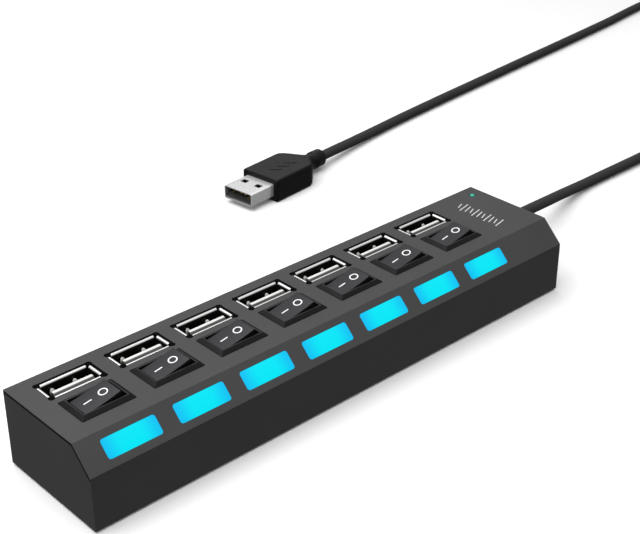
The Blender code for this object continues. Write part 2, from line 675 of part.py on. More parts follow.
def make_plug_grip():
    """Moulded grip, lofted from a broad rounded box to a round neck, with a pocket for the sleeve."""
    shoulder = np.linspace(GRIP_SHOULDER, GRIP_NECK, 7)
    grip = bmesh.new()
    rings = [grip_ring(grip, x) for x in (GRIP_START, *shoulder, GRIP_END)]
    for near, far in zip(rings, rings[1:]):
        for step, (a, b) in enumerate(zip(near, far)):
            grip.faces.new((a, near[step - 1], far[step - 1], b))
    grip.faces.new(rings[0])
    grip.faces.new(rings[-1][::-1])
    bmesh.ops.recalc_face_normals(grip, faces=grip.faces)
    piece = place("plug_overmold", as_mesh(grip, "plug_overmold"), RUBBER)
    piece.matrix_world = plug_turn()
    pocket = bmesh.new()
    size = (2 * GRIP_POCKET_DEPTH, PLUG_SHELL[0] + 2 * GAP, PLUG_SHELL[1] + 2 * GAP)
    add_box(pocket, size, (GRIP_START, 0.0, 0.0))
    mesh = as_mesh(pocket, "grip_pocket")
    mesh.transform(plug_turn())
    boolean(piece, mesh, "grip_pocket")


for leftover in list(bpy.data.objects):
    bpy.data.objects.remove(leftover, do_unlink=True)

PARTS = new_collection("usb_hub")
CUTTERS = new_collection("usb_hub_cutters")
CUTTERS.hide_render = True
ROOT = bpy.data.objects.new("usb_hub_root", None)
PARTS.objects.link(ROOT)

PLASTIC = new_material("dark_grey_plastic", (0.055, 0.055, 0.058), 0.55)
SWITCH_BLACK = new_material("switch_black", (0.012, 0.012, 0.013), 0.4)
STEEL = new_material("plated_steel", (0.62, 0.62, 0.63), 0.28, metallic=1.0)
TONGUE_WHITE = new_material("tongue_white", (0.78, 0.78, 0.76), 0.45)
WINDOW_BLUE = new_material("window_blue", (0.02, 0.72, 0.95), 0.35, glow=1.0)
POWER_GREEN = new_material("power_green", (0.03, 0.6, 0.45), 0.35, glow=1.0)
BOARD_GREEN = new_material("board_green", (0.02, 0.16, 0.07), 0.5)
CHIP_BLACK = new_material("chip_black", (0.02, 0.02, 0.02), 0.5)
RUBBER = new_material("black_rubber", (0.014, 0.014, 0.015), 0.5)

make_top_cover()
make_base_tray()
make_board()
make_port_shells()
make_port_tongues()
make_switch_frames()
make_switch_rockers()
make_light_windows()
make_lights()
make_screws()
make_feet()
make_strain_relief()
make_cable()
make_plug_shell()
make_plug_insulator()
make_plug_grip()
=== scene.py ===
"""Looks of a seven-port hub with rocker switches and lit windows, built round its CAD frame.

Lengths are metres. X runs along the hub towards its lead, Y from the sloping front to the
back, and Z up from the surface that the hub stands on. Each sub-assembly is a class that
holds its sizes and builds its pieces; each finish is a frozen dataclass that makes a
procedural material.
"""

from __future__ import annotations

import json
import logging
import math
from dataclasses import dataclass, replace
from enum import Enum

import bmesh
import bpy
import numpy as np
from mathutils import Matrix, Vector


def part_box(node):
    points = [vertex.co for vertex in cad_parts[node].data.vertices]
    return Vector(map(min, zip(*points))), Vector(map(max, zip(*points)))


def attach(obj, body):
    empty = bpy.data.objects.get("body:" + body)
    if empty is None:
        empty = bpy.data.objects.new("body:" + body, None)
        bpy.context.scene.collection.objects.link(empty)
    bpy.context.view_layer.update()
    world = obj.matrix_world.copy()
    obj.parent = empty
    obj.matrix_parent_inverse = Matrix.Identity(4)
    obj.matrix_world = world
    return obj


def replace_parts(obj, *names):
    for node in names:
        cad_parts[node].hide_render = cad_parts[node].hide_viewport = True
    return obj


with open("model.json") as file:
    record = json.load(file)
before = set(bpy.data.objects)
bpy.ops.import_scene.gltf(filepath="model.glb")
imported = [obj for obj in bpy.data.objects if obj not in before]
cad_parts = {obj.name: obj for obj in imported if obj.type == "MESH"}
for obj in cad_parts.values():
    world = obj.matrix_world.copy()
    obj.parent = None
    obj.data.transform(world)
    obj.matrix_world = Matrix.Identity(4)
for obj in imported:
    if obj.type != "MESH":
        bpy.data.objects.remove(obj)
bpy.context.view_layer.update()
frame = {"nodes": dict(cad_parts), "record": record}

MM = 0.001
UNITS = 7
HUB_BODY = "hub"
LENS_PLACE = "lens_place"
LOG = logging.getLogger("hub")

Colour = tuple[float, float, float]
Pair = tuple[float, float]
ALONG = np.array((1.0, 0.0, 0.0))
ACROSS = np.array((0.0, 1.0, 0.0))


class Ends(Enum):
    """Which ends of a stack of rings are closed with a face."""

    NONE = (False, False)
    BOTH = (True, True)


class RockerMark(Enum):
    """Printed symbols of a rocker, with the side of the pin that each is on."""

    ON = -1.0
    OFF = 1.0


class Fade(Enum):
    """What the painted shade of a shade-painted finish follows, by the output that it reads: height
    into an opening, or facing away from up.
    """

    HEIGHT = "Object"
    FACING = "Normal"


class Side(Enum):
    """Ends of the hub, by the sign of X."""

    LEFT = -1.0
    RIGHT = 1.0


# ---------------------------------------------------------------------------
# Shapes


def joined(*coordinates: np.ndarray | float) -> np.ndarray:
    """Points from their coordinates, each an array or one number for all of them."""
    return np.stack(np.broadcast_arrays(*coordinates), axis=-1)


def shifted(x: float, y: float, z: float = 0.0) -> Matrix:
    """Place that is only moved."""
    return Matrix.Translation((x, y, z))


def rounded_loop(size: Pair, corner: float, steps: int = 6) -> np.ndarray:
    """Rectangle with round corners about the origin, anticlockwise from its +X side.

    Quarter q is an arc: corner centre + corner * (cos a, sin a), with a from q to q + 1
    right angles.

    Args:
        size: Full length along each axis.
        corner: Radius of the corners.
        steps: Chords in each quarter.

    Returns:
        Points, shape (4 * (steps + 1), 2).
    """
    quarter = np.arange(4)[:, None] * (math.pi / 2)
    angle = quarter + np.linspace(0.0, math.pi / 2, steps + 1)
    signs = np.array(((1.0, 1.0), (-1.0, 1.0), (-1.0, -1.0), (1.0, -1.0)))
    centre = signs * (np.array(size) / 2 - corner)
    arc = corner * np.stack((np.cos(angle), np.sin(angle)), axis=-1)
    return (centre[:, None, :] + arc).reshape(-1, 2)


def loop_stack(size: Pair, corner: float, profile: list[Pair], steps: int = 6) -> np.ndarray:
    """Carries a profile round a rounded rectangle.

    Ring k is the rectangle with every side moved in by inset_k, at height_k, and its
    corner radius is smaller by the same amount down to a small least radius.

    Args:
        size: Full size of the rectangle at inset 0.
        corner: Corner radius at inset 0.
        profile: (inset, height) of each ring.
        steps: Chords in each corner.

    Returns:
        Rings, shape (len(profile), points, 3).
    """
    least = 0.12 * MM
    rings = []
    for inset, height in profile:
        inner = (size[0] - 2 * inset, size[1] - 2 * inset)
        loop = rounded_loop(inner, min(max(corner - inset, least), min(inner) / 2.001), steps)
        rings.append(joined(*loop.T, height))
    return np.stack(rings)


def turned_rings(profile: list[Pair], sides: int = 32) -> np.ndarray:
    """Turns a profile about Z: point (radius * cos a, radius * sin a, height).

    Args:
        profile: (radius, height) of each ring.
        sides: Points round each ring.

    Returns:
        Rings, shape (len(profile), sides, 3).
    """
    angle = np.arange(sides) * (2 * math.pi / sides)
    radius, height = np.array(profile).T
    return joined(radius[:, None] * np.cos(angle), radius[:, None] * np.sin(angle), height[:, None])


def strip_rings(
    path: np.ndarray, side: np.ndarray, width: np.ndarray | float, thickness: float
) -> np.ndarray:
    """Carries a flat rectangular section along a path.

    Ring k is path_k +- side * width_k / 2 +- normal_k * thickness / 2, where the normal
    is the path's tangent crossed with side.

    Args:
        path: Points along the middle of the strip, shape (n, 3).
        side: Unit vector across the strip.
        width: Width at each point, or one for all of them.
        thickness: Thickness of the strip.

    Returns:
        Rings, shape (n, 4, 3).
    """
    tangent = np.gradient(path, axis=0)
    normal = np.cross(tangent, side)
    normal /= np.linalg.norm(normal, axis=1)[:, None]
    reach = 0.5 * np.broadcast_to(width, len(path))[:, None] * side
    lift = 0.5 * thickness * normal
    corners = (path - reach - lift, path + reach - lift, path + reach + lift, path - reach + lift)
    return np.stack(corners, axis=1)


def tube_rings(path: np.ndarray, radius: float, sides: int = 20) -> np.ndarray:
    """Carries a circle along a path that never runs straight up.

    The circle's axes are the tangent crossed with +Z, and that crossed with the tangent.

    Args:
        path: Points along the centre line, shape (n, 3).
        radius: Radius of the tube.
        sides: Points round it.

    Returns:
        Rings, shape (n, sides, 3).
    """
    tangent = np.gradient(path, axis=0)
    across = np.cross(tangent, (0.0, 0.0, 1.0))
    across /= np.linalg.norm(across, axis=1)[:, None]
    up = np.cross(across, tangent)
    up /= np.linalg.norm(up, axis=1)[:, None]
    angle = (np.arange(sides) * (2 * math.pi / sides))[None, :, None]
    ring = np.cos(angle) * across[:, None, :] + np.sin(angle) * up[:, None, :]
    return path[:, None, :] + radius * ring


def smooth_route(points: np.ndarray, count: int) -> np.ndarray:
    """Evenly spaced points on a Catmull-Rom curve through a route's own points.

    Each stretch is the cubic that passes its two points with the slope, at each, of the
    line between that point's neighbours.

    Args:
        points: The route's points, shape (n, 3).
        count: Number of points wanted.

    Returns:
        Points, shape (count, 3).
    """
    ends = np.vstack((2 * points[0] - points[1], points, 2 * points[-1] - points[-2]))
    before, start, stop, after = ends[:-3], ends[1:-2], ends[2:-1], ends[3:]
    share = np.linspace(0.0, 1.0, 24, endpoint=False)[None, :, None]
    before, start, stop, after = (part[:, None, :] for part in (before, start, stop, after))
    bend = (2 * before - 5 * start + 4 * stop - after) * share**2
    twist = (3 * start - before - 3 * stop + after) * share**3
    dense = (start + 0.5 * ((stop - before) * share + bend + twist)).reshape(-1, 3)
    dense = np.vstack((dense, points[-1:]))
    reach = np.concatenate(([0.0], np.cumsum(np.linalg.norm(np.diff(dense, axis=0), axis=1))))
    even = np.linspace(0.0, reach[-1], count)
    return np.column_stack([np.interp(even, reach, axis) for axis in dense.T])


class Shape:
    """Points and faces of one piece, gathered from grids and placed as they are added."""

    def __init__(self) -> None:
        """Starts with nothing in it."""
        self.points: list[np.ndarray] = []
        self.faces: list[list[int]] = []
        self.count = 0

    def add_rings(
        self, rings: np.ndarray, ends: Ends = Ends.BOTH, place: Matrix | None = None
    ) -> Shape:
        """Adds a surface through closed rings.

        Args:
            rings: Shape (rings, points, 3).
            ends: Which of the two end rings are closed with a face.
            place: Where the surface goes, if its points aren't in place yet.

        Returns:
            This shape.
        """
        rows, columns, _ = rings.shape
        faces = self.quads(rows, columns)
        if ends.value[0]:
            faces.append(list(range(columns))[::-1])
        if ends.value[1]:
            faces.append(list(range((rows - 1) * columns, rows * columns)))
        return self.add(rings.reshape(-1, 3), faces, place)

    @staticmethod
    def quads(rows: int, columns: int, keep: np.ndarray | None = None) -> list[list[int]]:
        """Quads between neighbouring rows of a grid whose last column joins its first.

        Args:
            rows: Rows of points.
            columns: Points in a row.
            keep: Which cells to make, shape (rows - 1, columns), if not all of them.

        Returns:
            Four point numbers for each quad.
        """
        row = np.arange(rows - 1)[:, None] * columns
        column = np.arange(columns)[None, :]
        right = (column + 1) % columns
        corners = (row + column, row + right, row + columns + right, row + columns + column)
        cells = np.stack(corners, axis=-1)
        return (cells.reshape(-1, 4) if keep is None else cells[keep]).tolist()

    def add(self, points: np.ndarray, faces: list[list[int]], place: Matrix | None = None) -> Shape:
        """Adds points and the faces between them.

        Args:
            points: Shape (n, 3).
            faces: Point numbers of each face, which count from the first of these points.
            place: Where they go, if they aren't in place yet.

        Returns:
            This shape.
        """
        if place is not None:
            turn = np.array(place)
            points = points @ turn[:3, :3].T + turn[:3, 3]
        self.points.append(points)
        self.faces += [[number + self.count for number in face] for face in faces]
        self.count += len(points)
        return self

    def mesh(self, name: str, crease: float = 35.0, outward: bool = True) -> bpy.types.Mesh:
        """Makes the mesh.

        Args:
            name: Name of the mesh.
            crease: Angle in degrees past which an edge stays sharp.
            outward: Whether the faces are turned to point out of a closed shape.

        Returns:
            The mesh, shaded smooth between its creases.
        """
        mesh = bpy.data.meshes.new(name)
        mesh.from_pydata(np.concatenate(self.points).tolist(), [], self.faces)
        if outward:
            shape = bmesh.new()
            shape.from_mesh(mesh)
            bmesh.ops.recalc_face_normals(shape, faces=shape.faces)
            shape.to_mesh(mesh)
            shape.free()
        mesh.shade_smooth()
        mesh.set_sharp_from_angle(angle=math.radians(crease))
        return mesh


# ---------------------------------------------------------------------------
# Finishes


class Graph:
    """Short ways of adding nodes to a node tree."""

    def __init__(self, tree: bpy.types.NodeTree) -> None:
        """Takes the tree that the nodes go in."""
        self.tree = tree

    def node(self, kind: str, inputs: dict | None = None, **settings: object) -> bpy.types.Node:
        """Adds a node.

        Args:
            kind: The node's type.
            inputs: Value or source of its sockets, by name or number.
            **settings: The node's properties, which are set first.

        Returns:
            The node.
        """
        node = self.tree.nodes.new(kind)
        for key, value in settings.items():
            setattr(node, key, value)
        for key, value in (inputs or {}).items():
            self.feed(node.inputs[key], value)
        return node

    def feed(self, socket: bpy.types.NodeSocket, value: object) -> None:
        """Links a socket to another node's output, or sets it to a plain value.

        Args:
            socket: The socket to fill.
            value: An output socket, or the plain value.
        """
        if isinstance(value, bpy.types.NodeSocket):
            self.tree.links.new(value, socket)
        else:
            socket.default_value = value

    def upward(self, output: str) -> bpy.types.NodeSocket:
        """Z of one of the Texture Coordinate node's outputs."""
        coordinates = self.node("ShaderNodeTexCoord").outputs[output]
        return self.node("ShaderNodeSeparateXYZ", {0: coordinates}).outputs["Z"]


class Nodes(Graph):
    """The nodes of one material, round its Principled shader."""

    def __init__(self, name: str) -> None:
        """Starts a material.

        Args:
            name: Name of the material.
        """
        self.material = bpy.data.materials.new(name)
        self.material.use_nodes = True
        super().__init__(self.material.node_tree)
        self.surface = self.tree.nodes["Principled BSDF"]

    def set_surface(self, **values: object) -> None:
        """Feeds the shader's sockets, named with underscores for spaces."""
        for key, value in values.items():
            self.feed(self.surface.inputs[key.replace("_", " ")], value)

    def noise(self, size: float, detail: float = 2.0) -> bpy.types.NodeSocket:
        """Noise on the piece's own coordinates.

        Args:
            size: Size of its features in metres.
            detail: Octaves of finer noise.

        Returns:
            The noise, mostly between 0.25 and 0.75.
        """
        place = self.node("ShaderNodeTexCoord").outputs["Object"]
        scaled = {"Vector": place, "Scale": (1.0 / size,) * 3}
        place = self.node("ShaderNodeMapping", scaled).outputs["Vector"]
        inputs = {"Vector": place, "Scale": 1.0, "Detail": detail}
        return self.node("ShaderNodeTexNoise", inputs).outputs["Fac"]

    def spread(self, value: bpy.types.NodeSocket, low: float, high: float) -> bpy.types.NodeSocket:
        """Spreads the middle half of a noise over low to high."""
        inputs = {"Value": value, "From Min": 0.25, "From Max": 0.75, "To Min": low, "To Max": high}
        return self.node("ShaderNodeMapRange", inputs).outputs["Result"]

    def ease(self, value: bpy.types.NodeSocket, low: float, high: float) -> bpy.types.NodeSocket:
        """Smooth step from 0 at low to 1 at high."""
        inputs = {"Value": value, "From Min": low, "From Max": high}
        step = self.node("ShaderNodeMapRange", inputs, interpolation_type="SMOOTHSTEP")
        return step.outputs["Result"]

    def blend(
        self, share: bpy.types.NodeSocket, first: Colour, second: Colour
    ) -> bpy.types.NodeSocket:
        """Colour ramp between two plain colours.

        Args:
            share: How far along the ramp to read, from 0 to 1.
            first: Colour at 0.
            second: Colour at 1.

        Returns:
            The colour.
        """
        ramp = self.node("ShaderNodeValToRGB", {"Fac": share})
        for stop, colour in zip(ramp.color_ramp.elements, (first, second)):
            stop.color = (*colour, 1.0)
        return ramp.outputs["Color"]

    def mix(
        self, share: bpy.types.NodeSocket, first: object, second: object
    ) -> bpy.types.NodeSocket:
        """Mixes two colours, each a socket or a plain value, from the first to the second."""
        node = self.node("ShaderNodeMix", {0: share, 6: first, 7: second}, data_type="RGBA")
        return node.outputs[2]

    def relief(self, height: bpy.types.NodeSocket, depth: float) -> bpy.types.NodeSocket:
        """Bump of a depth in metres."""
        return self.node("ShaderNodeBump", {"Height": height, "Distance": depth}).outputs["Normal"]


@dataclass(frozen=True)
class Finish:
    """A moulded, plated or printed surface with a fine texture and uneven tone.

    Colour varies by a share of itself over patches of a size, roughness varies with the
    texture, and the texture itself is a bump of a depth over grains of a size.
    """

    name: str
    colour: Colour
    roughness: float
    metallic: float = 0.0
    specular: float = 0.5
    coat: float = 0.0
    tone: float = 0.06
    patch: float = 14 * MM
    grain: float = 0.35 * MM
    depth: float = 0.012 * MM
    roughness_swing: float = 0.06

    def material(self) -> bpy.types.Material:
        """Returns the material, which is made the first time that it's asked for."""
        made = bpy.data.materials.get(self.name)
        return made or self.build().material

    def uneven(self, nodes: Nodes, fine: bpy.types.NodeSocket) -> bpy.types.NodeSocket:
        """Roughness that swings to both sides of the finish's own with a noise."""
        swing = self.roughness_swing
        return nodes.spread(fine, self.roughness - swing, self.roughness + swing)

    def build(self) -> Nodes:
        """Makes the material.

        Returns:
            Its nodes.
        """
        nodes = Nodes(self.name)
        fine = nodes.noise(self.grain, 3.0)
        patches = nodes.spread(nodes.noise(self.patch), 0.0, 1.0)
        darker = tuple(value * (1 - self.tone) for value in self.colour)
        lighter = tuple(value * (1 + self.tone) for value in self.colour)
        nodes.set_surface(
            Base_Color=nodes.blend(patches, darker, lighter),
            Roughness=self.uneven(nodes, fine),
            Normal=nodes.relief(fine, self.depth),
            Metallic=self.metallic,
            Specular_IOR_Level=self.specular,
            Coat_Weight=self.coat,
        )
        return nodes


@dataclass(frozen=True)
class ShadePaintedFinish(Finish):
    """A finish whose colour falls to a painted shade, down into an opening or off the upper faces,
    where shade would fall.
    """

    # Colour of the painted shade, which stands in for shade in an opening or on faces turned from
    # the light.
    painted_shade: Colour = (0.01, 0.01, 0.01)
    by: Fade = Fade.HEIGHT
    low: float = 0.0
    high: float = 1.0

    def build(self) -> Nodes:
        """Makes the material, with its own colour blended to the painted shade.

        Returns:
            Its nodes.
        """
        nodes = super().build()
        base = nodes.surface.inputs["Base Color"]
        own = base.links[0].from_socket
        # Painted shade: full below low and gone above high, by height or by how far the face turns
        # up.
        share = nodes.ease(nodes.upward(self.by.value), self.low, self.high)
        nodes.feed(base, nodes.mix(share, (*self.painted_shade, 1.0), own))
        return nodes


@dataclass(frozen=True)
class LitLens(Finish):
    """A lens lit from behind, brighter and greener in the middle than at its ends."""

    ends_colour: Colour = (0.006, 0.5, 0.88)
    body_colour: Colour = (0.0, 0.02, 0.03)
    strength: float = 1.0
    edge_level: float = 0.12
    fade_from: float = 0.3
    fade_to: float = 1.1
    roughness_swing: float = 0.05

    def build(self) -> Nodes:
        """Makes the material, whose glow reads the attribute that place_lens writes.

        Returns:
            Its nodes.
        """
        nodes = Nodes(self.name)
        place = nodes.node("ShaderNodeAttribute", attribute_name=LENS_PLACE).outputs["Vector"]
        edge = nodes.node("ShaderNodeSeparateXYZ", {0: place}).outputs["Z"]
        flat = {0: place, 1: (1.0, 1.0, 0.0)}
        flat = nodes.node("ShaderNodeVectorMath", flat, operation="MULTIPLY").outputs["Vector"]
        reach = nodes.node("ShaderNodeVectorMath", {0: flat}, operation="LENGTH").outputs["Value"]
        share = nodes.ease(reach, self.fade_from, self.fade_to)
        glow = nodes.blend(share, self.colour, self.ends_colour)
        rim = tuple(value * self.edge_level for value in self.ends_colour)
        fine = nodes.noise(self.grain)
        nodes.set_surface(
            Base_Color=(*self.body_colour, 1.0),
            Roughness=self.uneven(nodes, fine),
            Emission_Color=nodes.mix(edge, glow, (*rim, 1.0)),
            Emission_Strength=self.strength,
            Specular_IOR_Level=self.specular,
        )
        return nodes


HOUSING = Finish(
    "housing_plastic", (0.043, 0.043, 0.0445), 0.56, specular=0.35, grain=0.3 * MM, depth=0.015 * MM
)
UNDERSIDE = replace(HOUSING, name="tray_plastic")
# Plain black of painted shade, put in the end shadow lines and the port openings where only shade
# falls.
PAINTED_SHADE_BLACK = Finish("painted_shade_black", (0.003, 0.003, 0.003), 0.9, specular=0.02)
# Painted shade: the bezel's faces that don't point up go near black.
BEZEL = ShadePaintedFinish(
    "bezel_plastic_painted_shade", (0.03, 0.03, 0.032), 0.45, specular=0.12, depth=0.004 * MM,
    painted_shade=(0.004, 0.004, 0.0045), by=Fade.FACING, low=0.9, high=0.97,
)
# Painted shade: the rocker's sides, and faces turned far from up, go near black.
ROCKER = ShadePaintedFinish(
    "rocker_plastic_painted_shade", (0.027, 0.027, 0.03), 0.45, specular=0.2, depth=0.006 * MM,
    painted_shade=(0.0025, 0.0025, 0.003), by=Fade.FACING, low=0.4, high=0.8,
)
PRINT = Finish("white_print", (0.86, 0.86, 0.86), 0.55, tone=0.03, patch=1 * MM, depth=0.002 * MM)
GREY_PRINT = replace(PRINT, name="grey_print", colour=(0.55, 0.55, 0.56))
STEEL = Finish(
    "plated_steel", (0.8, 0.8, 0.81), 0.24, 1.0, tone=0.03, grain=0.3 * MM, depth=0.0005 * MM
)
ZINC = replace(STEEL, name="zinc_plate", colour=(0.5, 0.5, 0.5), roughness=0.35)
# Painted shade: the sleeve's steel is bright at the lips and falls to near black down into the
# socket.
LIP_STEEL = ShadePaintedFinish(
    "port_steel_painted_shade", (0.78, 0.78, 0.77), 0.32, 0.8, tone=0.03, depth=0.0005 * MM,
    painted_shade=(0.02, 0.02, 0.019), low=20.64 * MM, high=20.84 * MM,
)
# Painted shade: the springs fall to near black lower in the socket.
FINGER_STEEL = replace(LIP_STEEL, name="spring_steel_painted_shade", low=17.8 * MM, high=19.3 * MM)
# Painted shade: the white tongue falls to near black below its top edge, down in the socket.
TONGUE = ShadePaintedFinish(
    "tongue_white", (0.68, 0.68, 0.66), 0.4, tone=0.03, patch=3 * MM, depth=0.003 * MM,
    painted_shade=(0.035, 0.035, 0.034), low=20.58 * MM, high=20.76 * MM,
)
# Painted shade: the contacts darken down into the socket.
PORT_GOLD = ShadePaintedFinish(
    "port_contact_gold", (0.83, 0.58, 0.22), 0.25, 1.0, depth=0.001 * MM,
    painted_shade=(0.06, 0.04, 0.015), low=18.0 * MM, high=22.5 * MM,
)
GOLD = Finish("contact_gold", (0.83, 0.58, 0.22), 0.25, 1.0, depth=0.001 * MM)
DARK_INSULATOR = Finish("plug_insulator_black", (0.02, 0.02, 0.02), 0.5)
BOARD = Finish("solder_mask", (0.02, 0.16, 0.06), 0.35, coat=0.3, tone=0.1)
CHIP = Finish("chip_package", (0.02, 0.02, 0.02), 0.5)
RUBBER = Finish("foot_rubber", (0.02, 0.02, 0.02), 0.75, grain=0.5 * MM, depth=0.03 * MM)
JACKET = Finish("cable_jacket", (0.0025, 0.0025, 0.0027), 0.36, specular=0.17, grain=0.6 * MM)
# Painted shade: only the grip's upward faces keep their dark grey; sides, bevels and chevron slopes
# go near black.
GRIP = ShadePaintedFinish(
    "grip_plastic_painted_shade", (0.017, 0.017, 0.018), 0.5, specular=0.2, depth=0.008 * MM,
    painted_shade=(0.002, 0.002, 0.0022), by=Fade.FACING, low=0.9, high=0.99,
)
PLUG_STEEL = replace(STEEL, name="plug_steel", colour=(0.9, 0.9, 0.91), metallic=0.7, roughness=0.3)
LED_CLEAR = Finish("led_epoxy", (0.3, 0.75, 0.95), 0.15, tone=0.03)
WINDOW = LitLens("window_glow", (0.0, 0.78, 0.9), 0.4, specular=0.08)
POWER = LitLens("power_glow", (0.05, 0.62, 0.4), 0.3, ends_colour=(0.01, 0.25, 0.18), strength=0.9)


# ---------------------------------------------------------------------------
# Pieces


def new_piece(
    name: str, mesh: bpy.types.Mesh, finish: Finish, body: str = HUB_BODY
) -> bpy.types.Object:
    """Adds one piece that moves with a body.

    Args:
        name: Name of the piece.
        mesh: Its mesh, with the place in its points.
        finish: Its finish.
        body: The body that it rides on.

    Returns:
        The piece.
    """
    piece = bpy.data.objects.new(name, mesh)
    bpy.context.scene.collection.objects.link(piece)
    mesh.materials.clear()
    mesh.materials.append(finish.material())
    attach(piece, body)
    LOG.info("%s: %d faces, %s", name, len(mesh.polygons), finish.name)
    return piece


def dress(node: str, finish: Finish) -> None:
    """Gives a carried-over CAD node its finish.

    Args:
        node: The CAD node.
        finish: Its finish.
    """
    mesh = frame["nodes"][node].data
    mesh.materials.clear()
    mesh.materials.append(finish.material())
    LOG.info("%s keeps its CAD shape, %s", node, finish.name)


def edged_copy(node: str, name: str) -> bpy.types.Mesh:
    """Clean copy of a CAD node's mesh, with its points merged.

    Args:
        node: The CAD node.
        name: Name of the new mesh.

    Returns:
        The mesh, ready for a Bevel modifier.
    """
    shape = bmesh.new()
    shape.from_mesh(frame["nodes"][node].data)
    bmesh.ops.remove_doubles(shape, verts=shape.verts, dist=0.002 * MM)
    shape.verts.ensure_lookup_table()
    mesh = bpy.data.meshes.new(name)
    points = [vertex.co[:] for vertex in shape.verts]
    mesh.from_pydata(points, [], [[vertex.index for vertex in face.verts] for face in shape.faces])
    shape.free()
    return mesh


def round_edges(piece: bpy.types.Object, width: float) -> None:
    """Rounds a piece's edges over 30 degrees.

    Args:
        piece: The piece.
        width: Width of the rounding.
    """
    bevel = piece.modifiers.new("rounded_edges", "BEVEL")
    bevel.width = width
    bevel.segments = 3
    bevel.limit_method = "ANGLE"
    bevel.angle_limit = math.radians(30)
    bevel.use_clamp_overlap = True
    bevel.miter_outer = "MITER_ARC"
    settle(piece, 0.0)


def thicken(piece: bpy.types.Object, sheet: float) -> None:
    """Gives an open surface the thickness of its sheet, half on each side.

    Args:
        piece: The piece.
        sheet: Thickness of the sheet.
    """
    wall = piece.modifiers.new("sheet", "SOLIDIFY")
    wall.thickness = sheet
    wall.offset = 0.0
    settle(piece)


def settle(piece: bpy.types.Object, crease: float = 35.0) -> None:
    """Takes a piece's modifiers into its mesh, then marks the creases that they made.

    Args:
        piece: The piece.
        crease: Angle in degrees past which an edge stays sharp; at 0 every facet is flat.
    """
    graph = bpy.context.evaluated_depsgraph_get()
    mesh = bpy.data.meshes.new_from_object(piece.evaluated_get(graph), depsgraph=graph)
    piece.modifiers.clear()
    piece.data = mesh
    if crease > 0:
        mesh.shade_smooth()
        mesh.set_sharp_from_angle(angle=math.radians(crease))
    else:
        mesh.shade_flat()


def centre_of(node: str) -> Vector:
    """Middle of a node's box."""
    low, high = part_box(node)
    return (Vector(low) + Vector(high)) / 2


def place_lens(mesh: bpy.types.Mesh, place: np.ndarray) -> None:
    """Writes the attribute that a lit lens reads its glow from.

    Args:
        mesh: The lens.
        place: Each point's place: X and Y along the lens, and Z 1 at its edge.
    """
    points = mesh.attributes.new(LENS_PLACE, "FLOAT_VECTOR", "POINT")
    points.data.foreach_set("vector", place.ravel())


